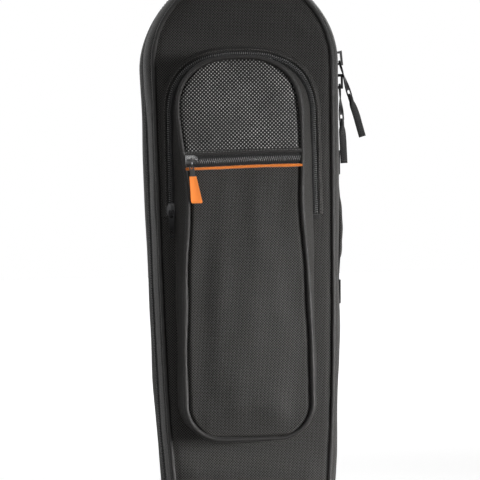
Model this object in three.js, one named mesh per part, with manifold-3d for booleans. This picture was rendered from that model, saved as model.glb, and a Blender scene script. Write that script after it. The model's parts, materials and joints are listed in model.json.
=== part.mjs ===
// A padded, upright carry bag for a folded music stand: a rear shell and a front lid joined by a coil zip
// that runs over the domed top, down the left side and along the bottom, with a fabric hinge on the right.
// The lid carries a gusseted pocket whose upper half unzips and folds forward, and that flap holds a short
// slash pocket with orange piping. Millimetres; +X to the wearer's right seen from the front, +Y to the back,
// +Z up; the origin is the centre of the rear shell's flat foot.
import * as THREE from "three";
import { mergeVertices } from "three/addons/utils/BufferGeometryUtils.js";
import Module from "manifold-3d";

const wasm = await Module();
wasm.setup();

// ---------- driving dimensions ----------

const GAP = 0.3; // running clearance between touching pieces
const WING_GAP = 0.6; // between a slider's wings and the chain, so that it also passes round the dome

// Bag outline, seen from the front
const DOME_R = 97; // radius of the round top, and half the greatest width
const DOME_Z = 458; // height of the dome's centre
const CORNER_R = 45; // radius of the bottom corners
const TAPER = 12; // how much narrower each side is at the bottom corners than at the dome

// Depth of the two shells, measured from the plane of the main zip
const RIM_D = 8; // the gussets' rims stand this far from the zip's centre
const FOOT_D = 34; // the gussets are flat from the rim to here
const WALL = 4; // padded gusset wall
const PIPING_R = 2.2;
const PIPING_INSET = 9.5; // piping centreline, in from the outline
const PIPING_D = 46.5;
const COVER_T = 1.5; // outer fabric of a panel
const FOAM_T = 6.4;
const LINING_T = 1;
const SKIN_T = 0.8; // lining of a gusset

// Main zip: a coil chain between two tapes
const ZIP_TOP_END = DOME_Z - 28; // height where the zip starts on the right side
const ZIP_LOW_END = 60; // height where it ends, low on the right side
const ZIP_INSET = 1.9; // the chain's middle lies this far inside the outline
const MAIN_CHAIN = { slit: 0.6, coil: 3.2, thick: 2.6, tape: 0.8 };
const LOWER_SLIDER_Z = ZIP_TOP_END + 12;
const UPPER_SLIDER_Z = LOWER_SLIDER_Z + 23;

// Front pocket, seen from the front; its outline is the line of the piping round its face
const POCKET_X = -3;
const POCKET_HALF = 60;
const POCKET_BOTTOM = 93;
const POCKET_TOP = DOME_Z + 3;
const ARCH_Z = POCKET_TOP - 57; // the sides are straight up to here
const ARCH_POWER = 2.5; // exponent of the superelliptic top
const POCKET_CORNER = 34;
const POCKET_DEPTH = 28; // from the lid's cover to the pocket's face
const SPREAD = 5.5; // the pocket is this much wider at its base than at its face, each side
const FOLD_Z = POCKET_TOP - 153; // height where the pocket's zip ends and the flap folds
const FACE_T = 1.2;
const GUSSET_T = 2;
const POCKET_PIPING_R = 2.3;

// Small chain of the pocket and slash zips
const SMALL_CHAIN = { slit: 0.5, coil: 2.8, thick: 2.2, tape: 0.6 };
const POCKET_SLIDER_Z = FOLD_Z + 8;
const SLASH_Z = POCKET_TOP - 98; // chain centre of the slash zip
const SLASH_END = 0.4; // the slash slider stops this short of the pocket's piping
const SLASH_PIPING_R = 1.4;

// Sliders: body length, half width, wing thickness, crown length and height, and half the crown's width
const MAIN_SLIDER = { long: 17, half: 5.2, wing: 1.4, crown: 13, rise: 5, neck: 1.4, chain: MAIN_CHAIN };
const SMALL_SLIDER = { long: 12, half: 4.4, wing: 1.1, crown: 9, rise: 4.1, neck: 0.9, chain: SMALL_CHAIN };

const BRIDGE = 1.2; // thickness of the crown's bridge
const CROWN_LEG = 1.8;

// Pull tabs: width at the ring, plate thickness, reach below the pivot
const TAB_BAR = 0.8; // half the height of the bar that turns in the crown
const MAIN_TAB = { half: 4, thick: 1.4, reach: 38 };
const SMALL_TAB = { half: 3.2, thick: 1.1, reach: 27 };
const UPPER_TAB_LEAN = 16; // degrees away from the gusset: it rests over the lower slider
const LOWER_TAB_LEAN = 2;
const POCKET_TAB_LEAN = 3;
const PULL_STRAP = { half: 3.4, neck: 1.5, thick: 3.4, long: 46 };
const GRIP = { top: 3.4, bottom: 5.4, thick: 2.4, long: 34 }; // orange grip of the slash zip

// Side handle on the hinge gusset
const HANDLE_HIGH = DOME_Z - 88;
const HANDLE_LOW = HANDLE_HIGH - 148;
const HANDLE_D = 18; // centre, behind the zip plane
const HANDLE_HALF = 12.5;
const HANDLE_T = 2.4;
const HANDLE_RISE = 2.5; // slack of the strap at its middle
const PATCH_LONG = 24;

// ---------- places worked out from the sizes above ----------

const ZIP_Y = -(RIM_D + FOOT_D) / 2;
const FOOT_HALF = DOME_R - TAPER - CORNER_R;
const COVER_D = PIPING_D; // inner face of a panel's outer fabric
const PANEL_INSET = PIPING_INSET + PIPING_R + 0.5;
const FOAM_D = COVER_D - GAP - FOAM_T;
const LINING_D = FOAM_D - GAP - LINING_T;
const SKIN_INSET = WALL + GAP;
const PANEL_D = COVER_D + COVER_T; // the lid's outer face
const FACE_D = PANEL_D + POCKET_DEPTH; // the pocket's outer face
const POCKET_CHAIN_D = PANEL_D + GAP + SMALL_SLIDER.wing + WING_GAP + SMALL_CHAIN.thick / 2;
const SLASH_CHAIN_D = FACE_D - 0.8;
const POCKET_ZIP_OFFSET = SPREAD + SMALL_SLIDER.half + 2 * GAP; // chain centre, out from the pocket's outline
// Either end of the slash slider's run, from the middle.
const SLASH_X = POCKET_HALF - POCKET_PIPING_R - SLASH_END - SMALL_SLIDER.long / 2;
const SLASH_STEP = SMALL_SLIDER.half + GAP + SMALL_CHAIN.tape; // where its tapes step back behind the face
const SLASH_PIPING_Z = SLASH_Z - SLASH_STEP - GAP - SLASH_PIPING_R;

const front = (d) => ZIP_Y - d;
const rear = (d) => ZIP_Y + d;
const degrees = THREE.MathUtils.degToRad;
const FORWARD = new THREE.Vector3(0, -1, 0);

// ---------- outlines ----------

const lerp = (a, b, n) => Array.from({ length: n + 1 }, (_, i) => a + ((b - a) * i) / n);
const arc = (cx, cz, rx, rz, from, to, n) =>
  lerp(degrees(from), degrees(to), n).map((a) => new THREE.Vector2(cx + rx * Math.cos(a), cz + rz * Math.sin(a)));
const mirrored = (points) => points.map((p) => new THREE.Vector2(-p.x, p.y)).reverse();

// Half the bag's width at height z, along its straight side.
function halfWidth(z) {
  const u = (z - CORNER_R) / (DOME_Z - CORNER_R);
  return DOME_R - TAPER * (0.5 * (1 - u) + 0.5 * (1 - u) ** 5);
}

// The right side at the given heights, moved in by inset.
const side = (heights, inset) => heights.map((z) => new THREE.Vector2(halfWidth(z) - inset, z));

const SIDE_MIDDLE = lerp(ZIP_LOW_END, ZIP_TOP_END, 6);
const corner = (inset) => arc(FOOT_HALF, CORNER_R, CORNER_R - inset, CORNER_R - inset, -90, 0, 6);
const dome = (inset) => arc(0, DOME_Z, DOME_R - inset, DOME_R - inset, 0, 180, 24);

// The whole closed outline, anticlockwise from the bottom.
function bagOutline(inset) {
  const right = [...corner(inset), ...side(SIDE_MIDDLE, inset)];
  return [...right, ...dome(inset), ...mirrored(right)];
}

// The zip's run: from the right side over the dome, down the left and along the bottom.
function zipRun(inset, from = ZIP_TOP_END, to = ZIP_LOW_END) {
  const left = mirrored([...corner(inset), ...side(SIDE_MIDDLE, inset)]);
  return [...side([from], inset), ...dome(inset), ...left, ...corner(inset), ...side([to], inset)];
}

// The pocket's outline at a share of its spread (0 at the face, 1 at the base) and an offset outwards.
function pocketHalf(spread, offset) {
  const wide = POCKET_HALF + SPREAD * spread + offset;
  const cornerX = POCKET_HALF - POCKET_CORNER;
  const low = arc(cornerX, POCKET_BOTTOM + POCKET_CORNER, wide - cornerX, POCKET_CORNER + offset, -90, 0, 6);
  const high = lerp(0, 90, 12).map((a) => {
    const c = Math.max(0, Math.cos(degrees(a))) ** (2 / ARCH_POWER);
    const s = Math.sin(degrees(a)) ** (2 / ARCH_POWER);
    return new THREE.Vector2(wide * c, ARCH_Z + (POCKET_TOP - ARCH_Z + offset) * s);
  });
  return { low, high, wide };
}
const shifted = (points) => points.map((p) => new THREE.Vector2(p.x + POCKET_X, p.y));

// Upper arch of the pocket, from its right end over the top to its left end.
function pocketArch(spread, offset, end = FOLD_Z + GAP) {
  const { high, wide } = pocketHalf(spread, offset);
  const right = [new THREE.Vector2(wide, end), ...high];
  return shifted([...right, ...mirrored(right).slice(1)]);
}

// Lower part of the pocket, from its left end round the bottom to its right end.
function pocketFoot(spread, offset, end = FOLD_Z - GAP) {
  const { low, wide } = pocketHalf(spread, offset);
  const right = [...low, new THREE.Vector2(wide, end)];
  return shifted([...mirrored(right), ...right]);
}

// ---------- geometry helpers ----------

// Joins rings of points into one closed skin. Each ring is the same polygon, section, placed in space.
function loft(rings, section, closed) {
  const n = section.length;
  const index = [];
  const last = closed ? rings.length : rings.length - 1;
  for (let k = 0; k < last; k++) {
    for (let i = 0; i < n; i++) {
      const a = k * n + i;
      const b = k * n + ((i + 1) % n);
      const c = ((k + 1) % rings.length) * n + i;
      const d = ((k + 1) % rings.length) * n + ((i + 1) % n);
      index.push(a, b, d, a, d, c);
    }
  }
  if (!closed) {
    const polygon = section.map(([u, v]) => new THREE.Vector2(u, v));
    const turned = THREE.ShapeUtils.area(polygon) < 0;
    const end = (rings.length - 1) * n;
    for (const t of THREE.ShapeUtils.triangulateShape(polygon, [])) {
      const [a, b, c] = turned ? [t[0], t[2], t[1]] : t;
      index.push(a, c, b, end + a, end + b, end + c);
    }
  }
  const positions = rings.flat().flatMap((p) => [p.x, p.y, p.z]);
  const geometry = new THREE.BufferGeometry();
  geometry.setAttribute("position", new THREE.Float32BufferAttribute(positions, 3));
  geometry.setIndex(index);
  return facingOut(geometry);
}

// Turns a closed skin's faces round if they point inwards.
function facingOut(geometry) {
  const p = geometry.getAttribute("position");
  const index = geometry.getIndex();
  const [a, b, c] = [new THREE.Vector3(), new THREE.Vector3(), new THREE.Vector3()];
  let volume = 0;
  for (let i = 0; i < index.count; i += 3) {
    [a, b, c].forEach((v, j) => v.fromBufferAttribute(p, index.getX(i + j)));
    volume += a.dot(b.cross(c));
  }
  if (volume < 0) {
    const turned = Array.from(index.array);
    for (let i = 0; i < turned.length; i += 3) [turned[i + 1], turned[i + 2]] = [turned[i + 2], turned[i + 1]];
    geometry.setIndex(turned);
  }
  geometry.computeVertexNormals();
  return geometry;
}

// Sweeps a section of [inset, depth] points along an outline; at(inset) gives the outline's (x, z) points
// and toY turns a depth into y.
function band(section, at, toY, closed = false) {
  const lines = section.map(([inset]) => at(inset));
  const rings = lines[0].map((_, k) => section.map(([, d], i) => new THREE.Vector3(lines[i][k].x, toY(d), lines[i][k].y)));
  return loft(rings, section, closed);
}

// A round section of [inset, depth] points.
const round = (inset, d, r, n = 6) =>
  Array.from({ length: n }, (_, i) => [inset + r * Math.cos((2 * Math.PI * i) / n), d + r * Math.sin((2 * Math.PI * i) / n)]);

// A flat plate with the given outline, from y0 to y1.
function plate(points, y0, y1, holes = []) {
  const shape = new THREE.Shape(points);
  shape.holes = holes.map((h) => new THREE.Path(h));
  const geometry = new THREE.ExtrudeGeometry(shape, { depth: y1 - y0, bevelEnabled: false, curveSegments: 8 });
  return geometry.rotateX(Math.PI / 2).translate(0, y1, 0);
}

const block = (x0, x1, y0, y1, z0, z1) =>
  new THREE.BoxGeometry(x1 - x0, y1 - y0, z1 - z0).translate((x0 + x1) / 2, (y0 + y1) / 2, (z0 + z1) / 2);

function toSolid(geometry) {
  const bare = new THREE.BufferGeometry();
  const flat = geometry.index ? geometry.toNonIndexed() : geometry;
  bare.setAttribute("position", flat.getAttribute("position").clone());
  const merged = mergeVertices(bare, 1e-4);
  return new wasm.Manifold(
    new wasm.Mesh({
      numProp: 3,
      vertProperties: merged.getAttribute("position").array,
      triVerts: new Uint32Array(merged.getIndex().array),
    }),
  );
}

function toGeometry(solid) {
  const { vertProperties, triVerts } = solid.getMesh();
  const geometry = new THREE.BufferGeometry();
  geometry.setAttribute("position", new THREE.BufferAttribute(new Float32Array(vertProperties), 3));
  geometry.setIndex(new THREE.BufferAttribute(new Uint32Array(triVerts), 1));
  geometry.computeVertexNormals();
  return geometry;
}

// Joins the first list of geometries and cuts the second list from them.
function carve(added, cut = []) {
  const whole = added.map(toSolid).reduce((a, b) => a.add(b));
  return toGeometry(cut.map(toSolid).reduce((a, b) => a.subtract(b), whole));
}

// ---------- materials ----------

const material = (color, roughness, metalness = 0) =>
  new THREE.MeshStandardMaterial({ color, roughness, metalness });
const SHELL = material(0x2b2a29, 0.85);
const MESH = material(0x4a4947, 0.8);
const LINING = material(0x3a3b3d, 0.9);
const FOAM = material(0x55565a, 0.95);
const PIPING = material(0x262525, 0.6);
const TAPE = material(0x1a1a1a, 0.8);
const WEBBING = material(0x1c1c1c, 0.8);
const BLACK_METAL = material(0x151515, 0.4, 0.6);
const GUNMETAL = material(0x8b8d90, 0.35, 0.9);
const ORANGE = material(0xe8751a, 0.5);

const bag = new THREE.Group();

function add(name, geometry, finish, parent = bag) {
  const mesh = new THREE.Mesh(geometry, finish);
  mesh.name = name;
  parent.add(mesh);
  return mesh;
}

// ---------- shells: panels, piping and gussets ----------

// Cover, foam and lining of a flat panel, from the outside in.
function panel(prefix, toY) {
  const layers = [
    ["cover", COVER_D, COVER_T, SHELL],
    ["foam", FOAM_D, FOAM_T, FOAM],
    ["lining", LINING_D, LINING_T, LINING],
  ];
  for (const [layer, d, thick, finish] of layers) {
    const [y0, y1] = [toY(d), toY(d + thick)].sort((a, b) => a - b);
    add(`${prefix}_${layer}`, plate(bagOutline(PANEL_INSET), y0, y1), finish);
  }
  add(`${prefix}_piping`, band(round(PIPING_INSET, PIPING_D, PIPING_R), bagOutline, toY, true), PIPING);
}

// The gusset's padded wall: flat at the foot, then rolling in to meet the piping.
const ROLL = [
  [0, FOOT_D],
  [2, FOOT_D + 6],
  [5, FOOT_D + 9],
  [7.6, PIPING_D - 1.9],
];
const ROLL_INSIDE = [
  [10.6, PIPING_D - 4.8],
  [5.9, FOOT_D + 3.5],
  [WALL, FOOT_D - 1],
];
const gussetWall = (start) => [[0, start], ...ROLL, ...ROLL_INSIDE, [WALL, start]];
const gussetSkin = (start) => [
  [SKIN_INSET, start],
  [SKIN_INSET, FOOT_D - 2],
  [SKIN_INSET + SKIN_T, FOOT_D - 2],
  [SKIN_INSET + SKIN_T, start],
];

function shells() {
  panel("front", front);
  panel("rear", rear);
  add("front_gusset", band(gussetWall(RIM_D), bagOutline, front, true), SHELL);
  add("front_gusset_lining", band(gussetSkin(RIM_D), bagOutline, front, true), LINING);
  const run = (inset) => zipRun(inset, ZIP_TOP_END + GAP, ZIP_LOW_END - GAP);
  add("rear_gusset", band(gussetWall(RIM_D), run, rear), SHELL);
  add("rear_gusset_lining", band(gussetSkin(RIM_D), run, rear), LINING);
}

// The right-hand gusset is one piece from the front gusset to the rear piping: it is the lid's fabric hinge.
function hingeGusset() {
  const start = -(RIM_D - GAP);
  const run = (inset) => side(lerp(ZIP_LOW_END, ZIP_TOP_END, 8), inset);
  const wall = [[0, start], ...ROLL.slice(0, 3), [9.2, FOOT_D + 5.6], ...ROLL_INSIDE.slice(1), [WALL, start]];
  add("hinge_gusset", band(wall, run, rear), SHELL);
  add("hinge_gusset_lining", band(gussetSkin(start), run, rear), LINING);
}

// ---------- zips ----------

// Half of a chain in [inset, depth] terms: its coil, and its tape out to reach.
function halfChain({ slit, coil, thick, tape }, middle, reach) {
  return [
    [middle - thick / 2, slit],
    [middle - thick / 2, coil],
    [middle - tape / 2, coil],
    [middle - tape / 2, reach],
    [middle + tape / 2, reach],
    [middle + tape / 2, coil],
    [middle + thick / 2, coil],
    [middle + thick / 2, slit],
  ];
}

function mainZip() {
  const section = halfChain(MAIN_CHAIN, ZIP_INSET, RIM_D - GAP);
  add("main_zip_front_tape", band(section, zipRun, front), TAPE);
  add("main_zip_rear_tape", band(section, zipRun, rear), TAPE);
  // Fabric tabs close the zip's two ends over the hinge gusset.
  const tab = [
    [-GAP, -RIM_D + 1],
    [-GAP, RIM_D - 1],
    [-GAP - 1.3, RIM_D - 1],
    [-GAP - 1.3, -RIM_D + 1],
  ];
  const ends = {
    main_zip_end_tab_top: [ZIP_TOP_END - 14, ZIP_TOP_END + 1],
    main_zip_end_tab_low: [ZIP_LOW_END - 1, ZIP_LOW_END + 14],
  };
  for (const [name, [from, to]] of Object.entries(ends)) {
    add(name, band(tab, (inset) => side(lerp(from, to, 3), inset), rear), WEBBING);
  }
}

// A slider in its own frame: +X out of the zip, Y across it, +Z along it; x = 0 is the middle of the chain.
// A thin blade joins its wings in the slit between the coils.
function slider({ long, half, wing, crown, rise, neck, chain }) {
  const inner = chain.thick / 2 + WING_GAP;
  const outer = inner + wing;
  const lip = chain.tape / 2 + WING_GAP;
  const nose = 0.3 * long;
  const blade = chain.slit - GAP;
  const outline = [
    [-half, -long / 2],
    [half, -long / 2],
    [half, long / 2 - nose],
    [0.6 * half, long / 2],
    [-0.6 * half, long / 2],
    [-half, long / 2 - nose],
  ].map(([y, z]) => new THREE.Vector2(y, z));
  // Plates are made across Y and turned to lie across X.
  const wingPlate = (x0, x1) => plate(outline, x0, x1).rotateZ(-Math.PI / 2);
  const flange = (s) => [s * half, s * (half - 1)].sort((a, b) => a - b);
  const edge = (s, x0, x1) => block(x0, x1, ...flange(s), -long / 2, long / 2 - nose);
  const parts = [
    wingPlate(inner, outer),
    wingPlate(-outer, -inner),
    edge(1, lip, inner),
    edge(-1, lip, inner),
    edge(1, -inner, -lip),
    edge(-1, -inner, -lip),
    block(-inner, inner, -blade, blade, long / 2 - 5, long / 2 - 1),
    block(outer, outer + rise, -neck, neck, -crown / 2, crown / 2),
  ];
  const legs = crown / 2 - CROWN_LEG;
  const window = block(outer, outer + rise - BRIDGE, -neck - 1, neck + 1, -legs, legs);
  return carve(parts, [window]);
}

const crownOuter = ({ wing, chain }) => chain.thick / 2 + WING_GAP + wing;
// The pivot of a pull tab lies against the bridge of the crown, at the lower end of its window.
const tabPivot = (s, tab) => ({
  out: crownOuter(s) + s.rise - BRIDGE - GAP - Math.hypot(tab.thick / 2, TAB_BAR),
  along: -s.crown / 2 + CROWN_LEG + 1.5,
});

// A flat pull tab hanging from its pivot at the origin: a ring round the crown, a plate, and a slot at its end.
function pullTab({ half, thick, reach }, neck) {
  const waist = 0.75 * half;
  const outline = [
    new THREE.Vector2(-half, -2),
    new THREE.Vector2(-half + 1, TAB_BAR),
    new THREE.Vector2(half - 1, TAB_BAR),
    new THREE.Vector2(half, -2),
    new THREE.Vector2(half, -7),
    new THREE.Vector2(waist, -13),
    ...arc(0, -reach + waist, waist, waist, 0, -180, 6),
    new THREE.Vector2(-waist, -13),
    new THREE.Vector2(-half, -7),
  ];
  const eye = neck + 0.7;
  const ring = [
    new THREE.Vector2(eye, -TAB_BAR),
    new THREE.Vector2(-eye, -TAB_BAR),
    ...arc(0, -5.6, eye, 1.6, 180, 360, 6),
  ];
  const slot = [
    new THREE.Vector2(PULL_STRAP.neck + GAP, -reach + 2.6),
    ...arc(0, -reach + 6.6, PULL_STRAP.neck + GAP, 1.2, 0, 180, 6),
    new THREE.Vector2(-PULL_STRAP.neck - GAP, -reach + 2.6),
  ];
  return plate(outline, -thick / 2, thick / 2, [ring, slot]).rotateZ(-Math.PI / 2);
}

// A webbing pull: a narrow loop through the tab's slot, sewn flat below it.
function pullStrap({ half, neck, thick, long }, tab) {
  const { reach } = tab;
  const neckEnd = -reach - 5;
  const loop = block(-thick / 2, thick / 2, -neck, neck, neckEnd, -reach + 5.6);
  const clear = tab.thick / 2 + GAP;
  const hole = block(-clear, clear, -neck - 1, neck + 1, -reach - GAP, -reach + 2.6 + GAP);
  const flat = block(-thick / 2 + 0.4, thick / 2 - 0.4, -half, half, -reach - long + 5, neckEnd + 1);
  return carve([loop, flat], [hole]);
}

// A frame for a slider and what hangs on it, at a point of a zip that runs along the second direction.
function sliderAt(position, out, along) {
  const holder = new THREE.Group();
  const across = along.clone().cross(out);
  holder.setRotationFromMatrix(new THREE.Matrix4().makeBasis(out, across, along));
  holder.position.copy(position);
  bag.add(holder);
  return holder;
}

function tabOn(holder, s, tab, lean) {
  const { out, along } = tabPivot(s, tab);
  const hung = new THREE.Group();
  hung.position.set(out, 0, along);
  hung.rotation.y = -degrees(lean);
  holder.add(hung);
  return hung;
}

function mainSliders() {
  const lift = Math.asin((UPPER_SLIDER_Z - DOME_Z) / DOME_R);
  const path = DOME_R - ZIP_INSET;
  const places = {
    upper: [path * Math.cos(lift), DOME_Z + path * Math.sin(lift), lift, UPPER_TAB_LEAN],
    lower: [halfWidth(LOWER_SLIDER_Z) - ZIP_INSET, LOWER_SLIDER_Z, 0, LOWER_TAB_LEAN],
  };
  for (const [which, [x, z, tilt, upright]] of Object.entries(places)) {
    const out = new THREE.Vector3(Math.cos(tilt), 0, Math.sin(tilt));
    const along = new THREE.Vector3(-Math.sin(tilt), 0, Math.cos(tilt));
    const holder = sliderAt(new THREE.Vector3(x, ZIP_Y, z), out, along);
    const lean = upright - THREE.MathUtils.radToDeg(tilt);
    add(`main_slider_${which}`, slider(MAIN_SLIDER), BLACK_METAL, holder);
    const hung = tabOn(holder, MAIN_SLIDER, MAIN_TAB, lean);
    add(`main_pull_tab_${which}`, pullTab(MAIN_TAB, MAIN_SLIDER.neck), BLACK_METAL, hung);
    add(`main_pull_strap_${which}`, pullStrap(PULL_STRAP, MAIN_TAB), WEBBING, hung);
  }
}

// ---------- front pocket ----------

// Sweeps [spread, offset, depth] points along the pocket's arch or foot.
function pocketBand(section, run) {
  const lines = section.map(([spread, offset]) => run(spread, offset));
  const placed = (k) => section.map(([, , d], i) => new THREE.Vector3(lines[i][k].x, front(d), lines[i][k].y));
  const rings = lines[0].map((_, k) => placed(k));
  return loft(rings, section.map(([s, o, d]) => [SPREAD * s + o, d]), false);
}

const pocketWall = [
  [0, -0.4, FACE_D - 3.6],
  [0.35, 0, FACE_D - 10],
  [1, 0, PANEL_D + 7],
  [1, 0, PANEL_D + GAP],
  [1, -GUSSET_T, PANEL_D + GAP],
  [1, -GUSSET_T, PANEL_D + 7],
  [0.35, -GUSSET_T, FACE_D - 10],
  [0, -0.4 - GUSSET_T, FACE_D - 3.6],
];
const pocketPiping = round(0, FACE_D - 1.1, POCKET_PIPING_R).map(([o, d]) => [0, o, d]);
const FACE_OFFSET = -POCKET_PIPING_R - GAP;

function pocketFaceBelow(z, from) {
  const { low, wide } = pocketHalf(0, FACE_OFFSET);
  if (from === undefined) {
    const right = [...low, new THREE.Vector2(wide, z)];
    return shifted([...mirrored(right).slice(0, -1), ...right]);
  }
  return shifted([
    new THREE.Vector2(-wide, from),
    new THREE.Vector2(wide, from),
    new THREE.Vector2(wide, z),
    new THREE.Vector2(-wide, z),
  ]);
}

function pocket() {
  const [faceBack, faceFront] = [front(FACE_D), front(FACE_D - FACE_T)];
  // Fixed lower half
  add("pocket_face_lower", plate(pocketFaceBelow(FOLD_Z - GAP), faceBack, faceFront), SHELL);
  add("pocket_gusset_lower", pocketBand(pocketWall, pocketFoot), SHELL);
  add("pocket_piping_lower", pocketBand(pocketPiping, pocketFoot), PIPING);
  // Flap: a strip of the face, the slash zip, and the ballistic panel above it
  const stripTop = SLASH_PIPING_Z - SLASH_PIPING_R - GAP;
  add("pocket_face_upper", plate(pocketFaceBelow(stripTop, FOLD_Z + GAP), faceBack, faceFront), SHELL);
  const meshLow = SLASH_Z + SLASH_STEP + GAP;
  const { high, wide } = pocketHalf(0, FACE_OFFSET);
  const arch = [new THREE.Vector2(wide, meshLow), ...high];
  const meshOutline = shifted([...arch, ...mirrored(arch).slice(1)]);
  add("pocket_mesh_panel", plate(meshOutline, faceBack, faceFront), MESH);
  add("pocket_gusset_upper", pocketBand(pocketWall, pocketArch), SHELL);
  add("pocket_piping_upper", pocketBand(pocketPiping, pocketArch), PIPING);
}

// Half of the pocket's chain as [spread, offset, depth]; s is +1 on the lid's side and -1 on the flap's.
function pocketHalfChain(s) {
  const { slit, coil, thick, tape } = SMALL_CHAIN;
  const middle = POCKET_ZIP_OFFSET - SPREAD;
  const d = POCKET_CHAIN_D;
  const reach = s > 0 ? SMALL_SLIDER.half + 3.1 : middle - GAP;
  const foot = s > 0 ? PANEL_D + GAP : d - tape / 2;
  const hem = s > 0 ? SMALL_SLIDER.half + 2 * GAP : reach;
  const half = [
    [slit, d + thick / 2],
    [coil, d + thick / 2],
    [coil, d + tape / 2],
    [reach, d + tape / 2],
    [reach, foot],
    [hem, foot],
    [hem, d - tape / 2],
    [coil, d - tape / 2],
    [coil, d - thick / 2],
    [slit, d - thick / 2],
  ];
  const kept = s > 0 ? half : half.filter((_, i) => i !== 5 && i !== 6);
  return kept.map(([w, depth]) => [1, middle + s * w, depth]);
}

function pocketZip() {
  const run = (spread, offset) => pocketArch(spread, offset, FOLD_Z + 1.2);
  add("pocket_zip_lid_tape", pocketBand(pocketHalfChain(1), run), TAPE);
  add("pocket_zip_flap_tape", pocketBand(pocketHalfChain(-1), run), TAPE);
  const x = POCKET_HALF + POCKET_ZIP_OFFSET;
  for (const [sideName, s] of [["left", -1], ["right", 1]]) {
    const bar = block(-4.5, 4.5, front(PANEL_D + GAP + 2), front(PANEL_D + GAP), -5, 0);
    add(`pocket_zip_end_${sideName}`, bar.translate(POCKET_X + s * x, 0, FOLD_Z + 0.6), WEBBING);
  }
  const place = new THREE.Vector3(POCKET_X - x, front(POCKET_CHAIN_D), POCKET_SLIDER_Z);
  const holder = sliderAt(place, FORWARD, new THREE.Vector3(0, 0, 1));
  add("pocket_slider", slider(SMALL_SLIDER), BLACK_METAL, holder);
  const hung = tabOn(holder, SMALL_SLIDER, SMALL_TAB, POCKET_TAB_LEAN);
  add("pocket_pull_tab", pullTab(SMALL_TAB, SMALL_SLIDER.neck), BLACK_METAL, hung);
}

// ---------- slash zip across the flap ----------

function slashZip() {
  const { slit, coil, thick, tape } = SMALL_CHAIN;
  const end = POCKET_HALF + FACE_OFFSET - 1;
  const [back, fore] = [front(SLASH_CHAIN_D + thick / 2), front(SLASH_CHAIN_D - thick / 2)];
  const tapeBack = front(FACE_D - FACE_T - GAP);
  for (const [which, s] of [["upper", 1], ["lower", -1]]) {
    const z = (a, b) => [SLASH_Z + s * a, SLASH_Z + s * b].sort((p, q) => p - q);
    const middle = front(SLASH_CHAIN_D);
    const coilBlock = block(-end, end, back, fore, ...z(slit, coil));
    const tapeBlock = block(-end, end, middle - tape / 2, middle + tape / 2, ...z(coil - 1, SLASH_STEP));
    const step = block(-end, end, middle - tape / 2, tapeBack + tape, ...z(SMALL_SLIDER.half + GAP, SLASH_STEP));
    const hem = block(-end, end, tapeBack, tapeBack + tape, ...z(SMALL_SLIDER.half + GAP, SMALL_SLIDER.half + 6));
    add(`slash_zip_${which}_tape`, carve([coilBlock, tapeBlock, step, hem]).translate(POCKET_X, 0, 0), TAPE);
  }
  const cord = new THREE.CylinderGeometry(SLASH_PIPING_R, SLASH_PIPING_R, 2 * end, 10).rotateZ(Math.PI / 2);
  add("slash_piping", cord.translate(POCKET_X, front(FACE_D - FACE_T + SLASH_PIPING_R), SLASH_PIPING_Z), ORANGE);
  // The slash pocket's own lining hangs behind the strip of face below the zip.
  const liningBack = tapeBack + tape + GAP;
  const liningTop = SLASH_Z - SMALL_SLIDER.half - 2;
  const lining = block(-end + 2, end - 2, liningBack, liningBack + SKIN_T, FOLD_Z + 3, liningTop);
  add("slash_pocket_lining", lining.translate(POCKET_X, 0, 0), LINING);

  const place = new THREE.Vector3(POCKET_X - SLASH_X, front(SLASH_CHAIN_D), SLASH_Z);
  const holder = sliderAt(place, FORWARD, new THREE.Vector3(1, 0, 0));
  add("slash_slider", slider(SMALL_SLIDER), GUNMETAL, holder);
  slashPull();
}

// A wire link round the crown's bar, and a moulded orange grip that hangs from it.
function slashPull() {
  const { rise } = SMALL_SLIDER;
  const barD = SLASH_CHAIN_D + crownOuter(SMALL_SLIDER) + rise - BRIDGE / 2;
  const link = { deep: 2.3, high: 5, wire: 0.5 };
  const linkZ = -(link.high - link.wire - SMALL_SLIDER.neck - GAP);
  const hung = new THREE.Group();
  hung.position.set(POCKET_X - SLASH_X, front(barD), SLASH_Z);
  bag.add(hung);
  const oval = (inset) => arc(0, linkZ, link.deep - inset, link.high - inset, 0, 360, 20).slice(0, 20);
  const wire = band(round(0, 0, link.wire), oval, (d) => d, true);
  add("slash_pull_link", wire.rotateZ(Math.PI / 2), GUNMETAL, hung);
  const { top, bottom, thick, long } = GRIP;
  const eyeR = 1.25;
  const eyeZ = linkZ - link.high + 0.4;
  const outline = [
    ...arc(0, eyeZ, 2.6, 2.2, 180, 0, 8),
    new THREE.Vector2(2.2, eyeZ - 6),
    new THREE.Vector2(top, eyeZ - 9),
    ...arc(bottom - 1.5, eyeZ - long + 1.5, 1.5, 1.5, 0, -90, 3),
    ...arc(-bottom + 1.5, eyeZ - long + 1.5, 1.5, 1.5, -90, -180, 3),
    new THREE.Vector2(-top, eyeZ - 9),
    new THREE.Vector2(-2.2, eyeZ - 6),
  ];
  const eye = arc(0, eyeZ, eyeR, eyeR, 0, 360, 10).slice(0, 10);
  add("slash_pull_grip", plate(outline, -thick / 2, thick / 2, [eye]), ORANGE, hung);
}

// ---------- side handle ----------

// Distance of the strap's inner face from the gusset at a share t of its length.
const strapRise = (t) => {
  const free = Math.min(1, Math.max(0, (t - 0.16) / 0.68));
  return GAP + 0.3 + HANDLE_RISE * Math.sin(Math.PI * free) ** 1.2;
};

function handleBand(inner, outer, half, from, to, n) {
  const section = [
    [0, -half],
    [1, -half],
    [1, half],
    [0, half],
  ];
  const rings = lerp(from, to, n).map((t) => {
    const z = HANDLE_LOW + t * (HANDLE_HIGH - HANDLE_LOW);
    const x = halfWidth(z) + strapRise(t);
    return section.map(([o, y]) => new THREE.Vector3(x + (o ? outer : inner), rear(HANDLE_D + y), z));
  });
  return loft(rings, section, false);
}

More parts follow.
